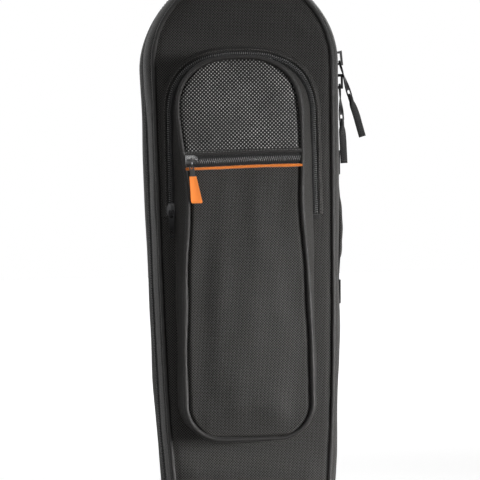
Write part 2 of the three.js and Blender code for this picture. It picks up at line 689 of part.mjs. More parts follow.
function handle() {
  add("handle_strap", handleBand(0, HANDLE_T, HANDLE_HALF, 0, 1, 18), WEBBING);
  const sleeve = handleBand(-1, HANDLE_T + 1, HANDLE_HALF + 1.2, 0.3, 0.7, 8);
  const bore = handleBand(-GAP, HANDLE_T + GAP, HANDLE_HALF + GAP, 0.28, 0.72, 8);
  add("handle_grip", carve([sleeve], [bore]), SHELL);
  // Sewn patches hold the strap's two ends.
  const share = PATCH_LONG / (HANDLE_HIGH - HANDLE_LOW);
  const over = HANDLE_T + GAP;
  add("handle_patch_low", handleBand(over, over + 1, HANDLE_HALF + 1.5, -0.02, share - 0.02, 3), WEBBING);
  add("handle_patch_high", handleBand(over, over + 1, HANDLE_HALF + 1.5, 1.02 - share, 1.02, 3), WEBBING);
}

shells();
hingeGusset();
mainZip();
mainSliders();
pocket();
pocketZip();
slashZip();
handle();

export default bag;
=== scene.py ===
"""A padded carry bag for a folded music stand, upright: zip-round lid, front pocket and side handle."""
import json
import math

import bmesh
import bpy
from mathutils import Matrix, Vector, noise


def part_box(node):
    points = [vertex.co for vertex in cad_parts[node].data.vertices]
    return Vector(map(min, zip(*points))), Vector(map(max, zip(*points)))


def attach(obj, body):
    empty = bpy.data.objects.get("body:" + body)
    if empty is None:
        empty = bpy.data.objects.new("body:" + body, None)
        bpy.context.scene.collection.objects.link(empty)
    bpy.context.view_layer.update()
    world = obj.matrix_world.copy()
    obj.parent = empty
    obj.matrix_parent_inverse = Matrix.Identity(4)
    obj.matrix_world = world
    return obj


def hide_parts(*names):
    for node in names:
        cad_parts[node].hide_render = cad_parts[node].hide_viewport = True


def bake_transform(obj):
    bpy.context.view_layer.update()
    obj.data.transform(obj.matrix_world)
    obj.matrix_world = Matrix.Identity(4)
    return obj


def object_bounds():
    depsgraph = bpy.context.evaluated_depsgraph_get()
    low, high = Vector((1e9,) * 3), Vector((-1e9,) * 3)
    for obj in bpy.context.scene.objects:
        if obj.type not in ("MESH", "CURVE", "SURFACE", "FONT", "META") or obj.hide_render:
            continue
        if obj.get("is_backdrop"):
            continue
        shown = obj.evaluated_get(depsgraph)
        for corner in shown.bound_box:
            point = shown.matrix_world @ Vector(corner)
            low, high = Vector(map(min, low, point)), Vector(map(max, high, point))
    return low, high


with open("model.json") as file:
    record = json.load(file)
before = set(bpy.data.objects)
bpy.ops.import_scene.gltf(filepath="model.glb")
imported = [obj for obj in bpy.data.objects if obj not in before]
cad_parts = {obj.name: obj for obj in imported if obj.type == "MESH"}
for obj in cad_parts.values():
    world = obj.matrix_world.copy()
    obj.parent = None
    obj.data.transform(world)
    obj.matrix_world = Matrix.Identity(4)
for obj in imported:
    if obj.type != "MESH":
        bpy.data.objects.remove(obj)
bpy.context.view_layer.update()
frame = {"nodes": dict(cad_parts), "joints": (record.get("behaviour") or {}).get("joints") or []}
scene = bpy.context.scene
scene.view_settings.view_transform = "Standard"
MM = 0.001

# ---------------------------------------------------------------- studio
# A long lens two metres away, level with the middle of the bag and a little to its left, with the slight
# roll of a bag that leans. A pale floor, one low light from the right, two weak ones from the left and
# one behind. The world is white to the camera and in reflections, and dim as a light.

ZIP_Y = (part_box("front_gusset")[1].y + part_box("rear_gusset")[0].y) / 2
CAMERA_DISTANCE = 2.0
CAMERA_TURN = math.radians(-4.5)
CAMERA_ROLL = math.radians(-1.28)
aim = Vector((-0.0031, ZIP_Y, 0.285))
back = Vector((math.sin(CAMERA_TURN), -math.cos(CAMERA_TURN), 0))
roll = Matrix.Rotation(CAMERA_ROLL, 3, "Z").to_quaternion()
camera = bpy.data.objects.new("camera", bpy.data.cameras.new("camera"))
camera.data.sensor_width = 36
camera.data.lens = 150
camera.location = aim + CAMERA_DISTANCE * back
camera.rotation_mode = "QUATERNION"
camera.rotation_quaternion = (-back).to_track_quat("-Z", "Y") @ roll
scene.collection.objects.link(camera)
scene.camera = camera


def maths(tree, operation, a, b=None):
    node = tree.nodes.new("ShaderNodeMath")
    node.operation = operation
    for socket, value in zip(node.inputs, (a, b)):
        if isinstance(value, (int, float)):
            socket.default_value = value
        elif value is not None:
            tree.links.new(value, socket)
    return node.outputs[0]


def mapped(tree, value, limits):
    """value taken from the range (limits[0], limits[1]) to (limits[2], limits[3]), and held at its ends."""
    node = tree.nodes.new("ShaderNodeMapRange")
    for name, limit in zip(("From Min", "From Max", "To Min", "To Max"), limits):
        node.inputs[name].default_value = limit
    tree.links.new(value, node.inputs["Value"])
    return node.outputs["Result"]


WORLD_LIGHT = 0.1
world = bpy.data.worlds.new("studio")
world.use_nodes = True
scene.world = world
tree = world.node_tree
path = tree.nodes.new("ShaderNodeLightPath")
seen = maths(tree, "MAXIMUM", path.outputs["Is Camera Ray"], path.outputs["Is Glossy Ray"])
tree.links.new(mapped(tree, seen, (0, 1, WORLD_LIGHT, 1)), tree.nodes["Background"].inputs["Strength"])
tree.nodes["Background"].inputs["Color"].default_value = (1, 1, 1, 1)


def lamp(name, place, size, power, target, spread=180):
    light = bpy.data.lights.new(name, "AREA")
    light.spread = math.radians(spread)
    light.size = size
    light.energy = power
    obj = bpy.data.objects.new(name, light)
    obj.location = place
    obj.rotation_mode = "QUATERNION"
    obj.rotation_quaternion = (Vector(target) - Vector(place)).to_track_quat("-Z", "Y")
    scene.collection.objects.link(obj)


lamp("low_right", (1.35, -0.75, 0.12), 0.7, 5.0, (0.1, -0.05, 0.03), 36)
lamp("high_left", (-1.3, -1.2, 1.5), 1.2, 0.25, (0, 0, 0.3))
lamp("low_left", (-1.2, -1.5, 0.12), 0.9, 1.0, (-0.05, 0, 0.05), 50)
lamp("behind", (0.4, 1.9, 1.3), 1.2, 12, (0, 0, 0.3))

FLOOR_RADIUS = 14
GLOW = (0.5, 2.5, 0.6, 1.0)  # distances from the bag, in metres, and the glow at each
bm = bmesh.new()
bmesh.ops.create_circle(bm, cap_ends=True, radius=FLOOR_RADIUS, segments=96)
floor_mesh = bpy.data.meshes.new("floor")
bm.to_mesh(floor_mesh)
bm.free()
floor = bpy.data.objects.new("floor", floor_mesh)
scene.collection.objects.link(floor)
floor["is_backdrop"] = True
paint = bpy.data.materials.new("floor")
paint.use_nodes = True
floor_mesh.materials.append(paint)
tree = paint.node_tree
shader = tree.nodes["Principled BSDF"]
shader.inputs["Base Color"].default_value = (0.86, 0.86, 0.86, 1)
shader.inputs["Roughness"].default_value = 0.9
place = tree.nodes.new("ShaderNodeTexCoord")
reach = tree.nodes.new("ShaderNodeVectorMath")
reach.operation = "LENGTH"
tree.links.new(place.outputs["Object"], reach.inputs[0])
path = tree.nodes.new("ShaderNodeLightPath")
glow = tree.nodes.new("ShaderNodeEmission")
strength = maths(tree, "MULTIPLY", mapped(tree, reach.outputs["Value"], GLOW), path.outputs["Is Camera Ray"])
tree.links.new(strength, glow.inputs["Strength"])
total = tree.nodes.new("ShaderNodeAddShader")
tree.links.new(glow.outputs[0], total.inputs[0])
tree.links.new(shader.outputs[0], total.inputs[1])
tree.links.new(total.outputs[0], tree.nodes["Material Output"].inputs["Surface"])

# ---------------------------------------------------------------- side walls of the two shells
# Foam-backed nylon walls, cut as long strips and sewn between the piping and the main zip. They swell a
# little between their two seams, and pucker beside the stitching. The right-hand wall is the lid's hinge.

low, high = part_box("front_gusset")
RADIUS = (high.x - low.x) / 2
DOME_Z = high.z - RADIUS
CORNER = 45 * MM
TAPER = 12 * MM
FOOT_HALF = RADIUS - TAPER - CORNER
HINGE_LOW, HINGE_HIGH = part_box("hinge_gusset")[0].z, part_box("hinge_gusset")[1].z
STEP = 4 * MM


def half_width(z):
    u = (z - CORNER) / (DOME_Z - CORNER)
    return RADIUS - TAPER * (0.5 * (1 - u) + 0.5 * (1 - u) ** 5)


def steps(a, b, count):
    return [a + (b - a) * i / count for i in range(count + 1)]


def arc(cx, cz, r, start, end, count):
    turns = steps(math.radians(start), math.radians(end), count)
    return [(cx + r * math.cos(t), cz + r * math.sin(t)) for t in turns]


def right_side(inset, z0, z1):
    count = max(1, round(abs(z1 - z0) / STEP))
    return [(half_width(z) - inset, z) for z in steps(z0, z1, count)]


def zip_run(inset):
    """From the right side over the dome, down the left side and along the bottom, as (x, z) points."""
    left = [(-x, z) for x, z in right_side(inset, DOME_Z, CORNER)]
    points = right_side(inset, HINGE_HIGH, DOME_Z)[:-1]
    points += arc(0, DOME_Z, RADIUS - inset, 0, 180, 76)[:-1] + left[:-1]
    points += arc(-FOOT_HALF, CORNER, CORNER - inset, 180, 270, 18)
    points += [(x, inset) for x in steps(-FOOT_HALF, FOOT_HALF, 20)[1:-1]]
    points += arc(FOOT_HALF, CORNER, CORNER - inset, 270, 360, 18)[:-1]
    return points + right_side(inset, CORNER, HINGE_LOW)


def whole_run(inset):
    return zip_run(inset) + right_side(inset, HINGE_LOW, HINGE_HIGH)[1:-1]


def forward(d):
    return ZIP_Y - d


def backward(d):
    return ZIP_Y + d


def sweep(rings, looped=True):
    """Extrudes the first ring of points through the others and back to itself. looped joins each ring's two
    ends. Two layers keep the lengths along and across for the weave."""
    bm = bmesh.new()
    along = bm.verts.layers.float.new("along")
    across = bm.verts.layers.float.new("across")
    middle = len(rings[0]) // 2
    ring = [bm.verts.new(p) for p in rings[0]]
    run = 0.0
    for i, v in enumerate(ring):
        run += (v.co - ring[i - 1].co).length if i else 0.0
        v[along] = run
    edges = [bm.edges.new(pair) for pair in zip(ring, ring[1:])]
    if looped:
        edges.append(bm.edges.new((ring[-1], ring[0])))
    width = 0.0
    for points in rings[1:] + rings[:1]:
        grown = bmesh.ops.extrude_edge_only(bm, edges=edges)["geom"]
        found = {tuple(v.co): v for v in grown if isinstance(v, bmesh.types.BMVert)}
        edges = [e for e in grown if isinstance(e, bmesh.types.BMEdge)]
        ring = [found[tuple(v.co)] for v in ring]
        width += (Vector(points[middle]) - ring[middle].co).length
        for v, p in zip(ring, points):
            v.co = p
            v[across] = width
        new = set(ring)
        edges = [e for e in edges if e.verts[0] in new and e.verts[1] in new]
    bmesh.ops.remove_doubles(bm, verts=bm.verts, dist=1e-6)
    if not looped:
        bmesh.ops.holes_fill(bm, edges=[e for e in bm.edges if e.is_boundary])
    return bm


def lay_weave(bm):
    """Gives every face its place on the flat cloth, in metres, from the layers or from x and z."""
    uv = bm.loops.layers.uv.new("cloth")
    along = bm.verts.layers.float.get("along")
    across = bm.verts.layers.float.get("across")
    if along is None:
        for face in bm.faces:
            for loop in face.loops:
                loop[uv].uv = (loop.vert.co.x, loop.vert.co.z)
        return
    length = max(v[along] for v in bm.verts)
    width = max(v[across] for v in bm.verts)
    for face in bm.faces:
        u = [loop.vert[along] for loop in face.loops]
        w = [loop.vert[across] for loop in face.loops]
        for loop, a, b in zip(face.loops, u, w):
            a += length if max(u) - a > length / 2 else 0
            b += width if max(w) - b > width / 2 else 0
            loop[uv].uv = (a, b)


def piece(name, bm, material, body, slot, stands_for=(), blend=None):
    """Turns a finished bmesh into an object that rides on a body, or, given blend, is left unparented in
    place.
    """
    lay_weave(bm)
    bmesh.ops.recalc_face_normals(bm, faces=bm.faces)
    mesh = bpy.data.meshes.new(name)
    bm.to_mesh(mesh)
    bm.free()
    mesh.shade_smooth()
    mesh.set_sharp_from_angle(angle=math.radians(50))
    mesh.materials.append(material)
    obj = bpy.data.objects.new(name, mesh)
    scene.collection.objects.link(obj)
    if blend:
        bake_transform(obj)
    else:
        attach(obj, body)
    if stands_for:
        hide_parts(*stands_for)
    return obj


def crumple(bm, depth, size, share=lambda co: 1.0, seed=0.0):
    """Moves points along their normals by smooth noise: the uneven tension of sewn cloth."""
    bm.normal_update()
    for v in bm.verts:
        at = Vector((v.co.x / size + seed, v.co.y / size, v.co.z / size))
        v.co += v.normal * (depth * noise.noise(at) * share(v.co))


def blended(tree, factor, a, b):
    node = tree.nodes.new("ShaderNodeMix")
    node.data_type = "RGBA"
    tree.links.new(factor, node.inputs["Factor"])
    for socket, value in ((node.inputs["A"], a), (node.inputs["B"], b)):
        if isinstance(value, tuple):
            socket.default_value = (*value, 1)
        else:
            tree.links.new(value, socket)
    return node.outputs["Result"]


def surface(name, roughness, sheen=0.0, metallic=0.0, specular=0.5):
    material = bpy.data.materials.new(name)
    material.use_nodes = True
    shader = material.node_tree.nodes["Principled BSDF"]
    shader.inputs["Roughness"].default_value = roughness
    shader.inputs["Metallic"].default_value = metallic
    shader.inputs["Specular IOR Level"].default_value = specular
    shader.inputs["Sheen Weight"].default_value = sheen
    shader.inputs["Sheen Roughness"].default_value = 0.4
    return material, material.node_tree, shader


def emboss(tree, shader, height, strength, distance):
    bump = tree.nodes.new("ShaderNodeBump")
    bump.inputs["Strength"].default_value = strength
    bump.inputs["Distance"].default_value = distance
    tree.links.new(height, bump.inputs["Height"])
    tree.links.new(bump.outputs["Normal"], shader.inputs["Normal"])


def cloudy(tree, scale, detail=3.0):
    place = tree.nodes.new("ShaderNodeTexCoord")
    cloud = tree.nodes.new("ShaderNodeTexNoise")
    cloud.inputs["Scale"].default_value = scale
    cloud.inputs["Detail"].default_value = detail
    tree.links.new(place.outputs["Object"], cloud.inputs["Vector"])
    return cloud.outputs["Fac"]


def clouded(name, rough, scale, dark, light, **look):
    """A plain material whose colour drifts between two tones."""
    material, tree, shader = surface(name, rough, **look)
    tree.links.new(blended(tree, cloudy(tree, scale), dark, light), shader.inputs["Base Color"])
    return material, tree, shader


def cloth_axes(tree):
    """The two directions of the threads, from the piece's own cloth map."""
    place = tree.nodes.new("ShaderNodeTexCoord")
    split = tree.nodes.new("ShaderNodeSeparateXYZ")
    tree.links.new(place.outputs["UV"], split.inputs[0])
    return split.outputs[0], split.outputs[1]


def square_wave(tree, pitch, axes):
    """The rise and fall of the two sets of threads, and where the first set lies on top."""
    waves = [maths(tree, "SINE", maths(tree, "MULTIPLY", axis, math.pi / pitch)) for axis in axes]
    return waves, maths(tree, "GREATER_THAN", maths(tree, "MULTIPLY", *waves), 0.0)


def on_top(tree, warp, weft, warp_up):
    """The height of the cloth: the warp where it lies on top, and the weft elsewhere."""
    gain = maths(tree, "MULTIPLY", maths(tree, "SUBTRACT", warp, weft), warp_up)
    return maths(tree, "ADD", weft, gain)


def woven(name, thread, dip_shade, pitch, slant=0.0, rough=0.62, sheen=0.25, relief=0.35, mottled=0.25, warp_sheen=0.9,
          specular=0.14):
    """Plain weave. In each square one thread lies on top, rounded across and dipping at its ends. The colour
    follows the height, so the dips are painted dark as shade, and the warp on top is painted lighter as
    sheen.
    """
    material, tree, shader = surface(name, rough, sheen, specular=specular)
    axes = cloth_axes(tree)
    if slant:
        u, w = axes
        along = maths(tree, "ADD", u, maths(tree, "MULTIPLY", w, slant))
        axes = along, maths(tree, "SUBTRACT", w, maths(tree, "MULTIPLY", u, slant))
    waves, warp_up = square_wave(tree, pitch, axes)
    lifts = [maths(tree, "POWER", maths(tree, "ABSOLUTE", wave), 0.6) for wave in waves]
    across = maths(tree, "ADD", 0.6, maths(tree, "MULTIPLY", lifts[1], 0.4))
    warp = maths(tree, "MULTIPLY", lifts[0], across)
    across = maths(tree, "ADD", 0.6, maths(tree, "MULTIPLY", lifts[0], 0.4))
    weft = maths(tree, "MULTIPLY", lifts[1], across)
    height = on_top(tree, warp, weft, warp_up)
    tone = maths(tree, "SUBTRACT", cloudy(tree, 9.0), 0.5)
    speckle = maths(tree, "MULTIPLY", maths(tree, "SUBTRACT", cloudy(tree, 620.0, 1.0), 0.5), 0.9)
    # Lighter on the threads' crests and darker in their dips: painted shade, with random tone and speckle
    # added.
    share = maths(tree, "ADD", maths(tree, "POWER", height, 2.0), maths(tree, "MULTIPLY", tone, mottled))
    share = maths(tree, "ADD", share, speckle)
    # The warp where it lies on top is painted lighter: a painted sheen of the threads that run one way.
    side = maths(tree, "MULTIPLY", maths(tree, "SUBTRACT", warp_up, 0.5), warp_sheen)
    colour = blended(tree, maths(tree, "ADD", share, side), dip_shade, thread)
    tree.links.new(colour, shader.inputs["Base Color"])
    emboss(tree, shader, height, relief, 0.5 * pitch)
    return material


nylon = woven("nylon", (0.052, 0.05, 0.0475), (0.0018, 0.0016, 0.0015), 1.3 * MM, rough=0.46, sheen=0.05,
              warp_sheen=1.5, relief=0.6)

# The wall's section, from the zip round the outside to the piping and back inside: how far in from the
# outline and how far from the zip's plane, in millimetres.
WALL_OUT = [(0.9, 9.8), (0.7, 13), (0.8, 18), (1.1, 24), (1.7, 30), (2.7, 35), (4.2, 39.4)]
WALL_OUT += [(5.6, 42.2), (7.2, 44), (8.4, 44.9)]
WALL_IN = [(9.6, 43.2), (9.4, 40.8), (7.6, 37.4), (6.2, 33), (5.3, 27), (4.8, 18)]
SEAM_PUCKER = 0.7 * MM


def smooth(a, b, x):
    t = min(1.0, max(0.0, (x - a) / (b - a)))
    return t * t * (3 - 2 * t)


def turned(x, z):
    """How far the zip is turned forward: not at all on the right and over the dome, fully on the left."""
    return smooth(-10 * MM, 60 * MM, -x) * smooth(0, 55 * MM, DOME_Z - 12 * MM - z)


def leaning(run, inset, extra):
    """The run at an inset that grows by extra where the shell is turned."""
    points = []
    for (x0, z0), (x1, z1) in zip(run(inset), run(inset + extra)):
        share = turned(x0, z0)
        points.append((x0 + (x1 - x0) * share, z0 + (z1 - z0) * share))
    return points


def wall(run, toward, rim, looped, swell=0.0, lean=0.0):
    section = [(1.9, rim), (1.2, rim + 0.3)] + WALL_OUT + WALL_IN + [(4.4, rim)]
    rings = []
    for inset, d in section:
        inset -= swell * math.sin(math.pi * min(1, max(0, (d - rim) / (45 - rim))))
        points = leaning(run, inset * MM, lean * MM * (1 - smooth(34, 45, d)))
        rings.append([Vector((x, toward(d * MM), max(z, 0.0))) for x, z in points])
    bm = sweep(rings, looped=looped)
    seam = toward(45 * MM)
    mouth = toward(rim * MM)

    def near_seams(co):
        if co.z < 1 * MM:
            return 0.0
        return math.exp(-abs(co.y - seam) / (7 * MM)) + 0.45 * math.exp(-abs(co.y - mouth) / (5 * MM))

    crumple(bm, SEAM_PUCKER, 9 * MM, near_seams)
    crumple(bm, 1.3 * MM, 55 * MM, lambda co: 0.0 if co.z < 2 * MM else 1.0, seed=4)
    for v in bm.verts:
        v.co.z = max(v.co.z, 0.0)
    return bm


RIM = 8.2
HINGE_RIM = -7.8
LID_LEAN = 2.2
piece("lid_side_wall", wall(whole_run, forward, RIM, True, lean=LID_LEAN), nylon, "lid", "shell_fabric",
      ["front_gusset"])
piece("rear_side_wall", wall(zip_run, backward, RIM, False, 2.8), nylon, "rear_shell", "shell_fabric",
      ["rear_gusset"])


def hinge_run(inset):
    return right_side(inset, HINGE_LOW, HINGE_HIGH)


hinge_bend = ("rear_shell", "lid", (0, backward(45.5 * MM), 0), (0, backward(31 * MM), 0))
piece("hinge_wall", wall(hinge_run, backward, HINGE_RIM, False, 1.2), nylon, None, "shell_fabric",
      ["hinge_gusset"], blend=hinge_bend)

BINDING = [(1.2, -5.6), (0.3, -5.8), (-0.2, -6.6), (-0.3, -8), (-0.2, -9.6), (0.3, -10.4), (1.2, -10.6)]
rings = [[Vector((x, backward(d * MM), z)) for x, z in hinge_run(inset * MM)] for inset, d in BINDING]
piece("hinge_seam_binding", sweep(rings, looped=False), nylon, "lid", "shell_fabric")

# ---------------------------------------------------------------- piping round the two panels
# A cord wrapped in a bias strip of the same nylon and caught in the seam between wall and panel. It
# stands a little proud, and its skin is drawn tight in short uneven stretches.

PIPING_INSET = 9.5 * MM
PIPING_DEPTH = 46.5 * MM
PIPING_R = 2.2 * MM

bias = woven("bias_nylon", (0.03, 0.028, 0.027), (0.006, 0.006, 0.006), 0.8 * MM, slant=0.4, rough=0.38,
             sheen=0.05, warp_sheen=0.4, specular=0.24)


def piping(toward):
    rings = []
    for t in steps(0, 2 * math.pi, 12)[:-1]:
        run = whole_run(PIPING_INSET + PIPING_R * math.cos(t))
        rings.append([Vector((x, toward(PIPING_DEPTH + PIPING_R * math.sin(t)), z)) for x, z in run])
    bm = sweep(rings)
    crumple(bm, 0.5 * MM, 7 * MM)
    return bm


piece("lid_piping", piping(forward), bias, "lid", "piping", ["front_piping"])
piece("back_piping", piping(backward), bias, "rear_shell", "piping", ["rear_piping"])

# ---------------------------------------------------------------- front and back panels
# One cut of nylon over foam for each side, turned in at the edge to the piping. Free cloth above and
# below the pocket crowns a little, and the back panel crowns all over.

PANEL_INSET = 11.4 * MM
PANEL_SEAM = 46.9 * MM


def edge_distance(x, z, inset):
    if z > DOME_Z:
        return RADIUS - inset - math.hypot(x, z - DOME_Z)
    if z < CORNER and abs(x) > FOOT_HALF:
        return CORNER - inset - math.hypot(abs(x) - FOOT_HALF, CORNER - z)
    return min(half_width(z) - inset - abs(x), z - inset)


def panel_half(z):
    r = RADIUS - PANEL_INSET
    if z > DOME_Z:
        return math.sqrt(max(0.0, r**2 - (z - DOME_Z) ** 2))
    if z < CORNER:
        return FOOT_HALF + math.sqrt(max(0.0, (CORNER - PANEL_INSET) ** 2 - (CORNER - z) ** 2))
    return half_width(z) - PANEL_INSET


def spread_cloth(half, z0, z1, columns, rows, depth_at, thick=1.2 * MM, middle=lambda z: 0.0):
    """A sheet between two edges at -half(z) and +half(z), closer meshed towards its edges."""
    bm = bmesh.new()
    bmesh.ops.create_grid(bm, x_segments=columns, y_segments=rows, size=1)
    for v in bm.verts:
        z = (z0 + z1) / 2 + (z1 - z0) / 2 * math.sin(v.co.y * math.pi / 2)
        x = half(z) * math.sin(v.co.x * math.pi / 2)
        v.co = Vector((x + middle(z), depth_at(x, z), z))
    bmesh.ops.remove_doubles(bm, verts=bm.verts, dist=1e-5)
    bmesh.ops.dissolve_degenerate(bm, edges=bm.edges, dist=1e-6)
    bmesh.ops.recalc_face_normals(bm, faces=bm.faces)
    if sum((f.normal.y for f in bm.faces)) > 0:
        bmesh.ops.reverse_faces(bm, faces=bm.faces)
    bmesh.ops.solidify(bm, geom=bm.faces[:], thickness=thick)
    return bm


def front_depth(x, z):
    e = edge_distance(x, z, PANEL_INSET)
    free = smooth(0, 26 * MM, max(z - 476 * MM, 82 * MM - z))
    ripple = 0.8 * MM * noise.noise(Vector((x / 0.03, 7.0, z / 0.045))) * free
    crown = (3.2 * MM * free + ripple) * smooth(0, 22 * MM, e)
    return forward(PANEL_SEAM + 1.1 * MM * smooth(0, 6 * MM, e) + crown)


def back_depth(x, z):
    e = edge_distance(x, z, PANEL_INSET)
    ripple = 1.0 * MM * noise.noise(Vector((x / 0.035, 3.0, z / 0.05)))
    crown = (4.5 * MM + ripple) * smooth(0, 40 * MM, e)
    return backward(PANEL_SEAM + 1.1 * MM * smooth(0, 6 * MM, e) + crown)


bottom, top = PANEL_INSET, DOME_Z + RADIUS - PANEL_INSET
piece("lid_panel", spread_cloth(panel_half, bottom, top, 60, 150, front_depth), nylon, "lid", "shell_fabric",
      ["front_cover"])
back_panel = spread_cloth(panel_half, bottom, top, 60, 150, back_depth, thick=-1.2 * MM)
piece("back_panel", back_panel, nylon, "rear_shell", "shell_fabric", ["rear_cover"])

# ---------------------------------------------------------------- main zip
# A number 10 coil zip. Each half is a ribbed tape tucked under a wall's rim, with a nylon coil sewn to its
# edge. The two coils mesh turn by turn round the dome, down the left side and along the bottom.

tape_cloth = woven("zip_tape", (0.03, 0.03, 0.03), (0.006, 0.006, 0.006), 0.5 * MM, rough=0.7, sheen=0.2)
coil_nylon, tree, shader = clouded("coil", 0.26, 300.0, (0.02, 0.02, 0.02), (0.075, 0.075, 0.077),
                                   specular=0.6)
emboss(tree, shader, cloudy(tree, 900.0), 0.15, 0.0001)

ZIP_INSET = 1.9 * MM


def zip_tape(run, toward, section, tilt=0.0):
    rings = []
    for i, d in section:
        points = leaning(run, ZIP_INSET + i * MM, tilt * d * MM)
        rings.append([Vector((x, toward(d * MM), z)) for x, z in points])
    return sweep(rings, looped=False)


def repeat(shape, places):
    """Copies one small finished shape to every place."""
    pattern = bpy.data.meshes.new("pattern")
    shape.to_mesh(pattern)
    shape.free()
    bm = bmesh.new()
    for place in places:
        one = pattern.copy()
        one.transform(place)
        bm.from_mesh(one)
        bpy.data.meshes.remove(one)
    bpy.data.meshes.remove(pattern)
    return bm


def bead(u, v, half):
    bm = bmesh.new()
    bmesh.ops.create_uvsphere(bm, u_segments=u, v_segments=v, radius=1, matrix=Matrix.Diagonal((*half, 1)))
    return bm


def placed(centre, tangent, out):
    side = out.cross(tangent).normalized()
    return Matrix.Translation(centre) @ Matrix((tangent, side, tangent.cross(side))).transposed().to_4x4()


def paced(points, pitch, shift=0.0):
    """Places at an even spacing along a line of points, each with the line's direction."""
    due = pitch / 2 + shift
    travelled = 0.0
    for a, b in zip(points, points[1:]):
        span = (b - a).length
        while span and due <= travelled + span:
            yield a + (b - a) * ((due - travelled) / span), (b - a) / span
            due += pitch
        travelled += span


def coil(points, pitch, lift, shift, out_of, half):
    """One bead for each turn of a coil. lift moves the beads across the chain, and out_of(at, tangent) is the
    direction out of the tape."""
    places = []
    for at, tangent in paced(points, pitch, shift):
        out = out_of(at, tangent)
        side = out.cross(tangent).normalized()
        lean = (tangent + math.copysign(0.22, lift) * side).normalized()
        places.append(placed(at + side * lift, lean, out))
    return repeat(bead(8, 5, half), places)


STITCH = (1.1 * MM, 0.32 * MM, 0.3 * MM)


def stitches(points, pitch, out_of):
    places = [placed(at, tangent, out_of(at, tangent)) for at, tangent in paced(points, pitch)]
    return repeat(bead(6, 4, STITCH), places)


chain = [Vector((x, ZIP_Y, z)) for x, z in zip_run(ZIP_INSET)]


def away_from_bag(at, tangent):
    return tangent.cross(Vector((0, 1, 0))).normalized()


TILT = 0.42


def half_forward(at, tangent):
    """Out of the tape: straight away from the bag on the right, and turned forward down the left."""
    return (away_from_bag(at, tangent) + Vector((0, -TILT, 0)) * turned(at.x, at.z)).normalized()


TAPE_SECTION = [(-0.4, 1.2), (-0.4, 9.4), (0.4, 9.4), (0.4, 1.2)]
BEAD = (0.66 * MM, 2.1 * MM, 1.3 * MM)
MAIN_PITCH = 2.5 * MM
piece("lid_zip_tape", zip_tape(zip_run, forward, TAPE_SECTION, TILT), tape_cloth, "lid", "zip_tape",
      ["main_zip_front_tape"])
piece("back_zip_tape", zip_tape(zip_run, backward, TAPE_SECTION), tape_cloth, "rear_shell", "zip_tape",
      ["main_zip_rear_tape"])
COIL_OFF = 1.25 * MM
beads = coil(chain, MAIN_PITCH, -COIL_OFF, 0, half_forward, BEAD)
piece("lid_zip_coil", beads, coil_nylon, "lid", "zip_tape")
beads = coil(chain, MAIN_PITCH, COIL_OFF, MAIN_PITCH / 2, half_forward, BEAD)
piece("back_zip_coil", beads, coil_nylon, "rear_shell", "zip_tape")

thread = clouded("thread", 0.5, 700.0, (0.02, 0.019, 0.018), (0.075, 0.07, 0.066), sheen=0.3)[0]


def seam_row(name, points, body, out_of, pitch=3.4 * MM):
    piece(name, stitches(points, pitch, out_of), thread, body, "shell_fabric")


def lifted(run, inset, y):
    return [Vector((x, y, z)) for x, z in run(inset)]


def leaning_zip_run(inset):
    return leaning(zip_run, inset, 2.1 * MM)


ZIP_SEAM = 11.6 * MM
seam_row("lid_zip_stitches", lifted(leaning_zip_run, 0.55 * MM, forward(ZIP_SEAM)), "lid", away_from_bag)
seam_row("back_zip_stitches", lifted(zip_run, -0.15 * MM, backward(ZIP_SEAM)), "rear_shell", away_from_bag)


def end_tab(z0, z1):
    """A folded tab of webbing over one end of the zip, sewn to the hinge wall."""
    section = [(-0.2, -7.2), (-0.2, 7.2), (-0.9, 7.6), (-1.6, 7.0)]
    section += [(-1.8, 3), (-1.8, -3), (-1.6, -7.0), (-0.9, -7.6)]
    heights = [z0 + (z1 - z0) * t for t in (0, 0.03, 0.12, 0.5, 0.88, 0.97, 1)]
    rings = []
    for z, sink in zip(heights, (0.7, 0.2, 0, 0, 0, 0.2, 0.7)):
        rings.append([(half_width(z) - min(i + sink, -0.2) * MM, backward(d * MM), z) for i, d in section])
    rings = [[Vector(p) for p in line] for line in zip(*rings)]
    return sweep(rings, looped=False)


webbing = woven("webbing", (0.035, 0.034, 0.034), (0.007, 0.007, 0.007), 0.85 * MM, rough=0.55, sheen=0.3,
                relief=0.6)
TAB_SHORT = 1.4 * MM
for name, node in (("zip_tab_top", "main_zip_end_tab_top"), ("zip_tab_low", "main_zip_end_tab_low")):
    low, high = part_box(node)
    piece(name, end_tab(low.z, high.z - TAB_SHORT), webbing, "lid", "webbing", [node])

# ---------------------------------------------------------------- front pocket
# Cut from the same nylon: a wall round a raised face, a cord-filled piping at their seam, and above the
# fold a zip that frees the upper half as a flap. The face pulls in at its waist and sags over the foot.

low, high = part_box("pocket_gusset_lower")
SPREAD = 5.5 * MM
POCKET_X = (low.x + high.x) / 2
POCKET_HALF = (high.x - low.x) / 2 - SPREAD
POCKET_BOTTOM = low.z
POCKET_CORNER = 34 * MM
FOLD_Z = high.z
ARCH_Z = 404 * MM
POCKET_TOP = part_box("pocket_gusset_upper")[1].z
FACE_DEPTH = ZIP_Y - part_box("pocket_face_lower")[0].y
FOLD = ("lid", "pocket_flap", (POCKET_X, 0, FOLD_Z - 16 * MM), (POCKET_X, 0, FOLD_Z + 16 * MM))


def waist(z):
    """How far each side of the face pulls in, narrowest just above the fold."""
    pull = 4.9 * MM * math.exp(-(((z - 322 * MM) / (52 * MM)) ** 2))
    return pull - 1.5 * MM * smooth(0, 1, (230 * MM - z) / (50 * MM))


def lean(z):
    return -4.0 * MM * smooth(0, 1, (z - 335 * MM) / (90 * MM))


def pocket_x(x, z, spread):
    free = 1 - spread
    return POCKET_X + x * (1 - waist(z) / POCKET_HALF * free) + lean(z) * free


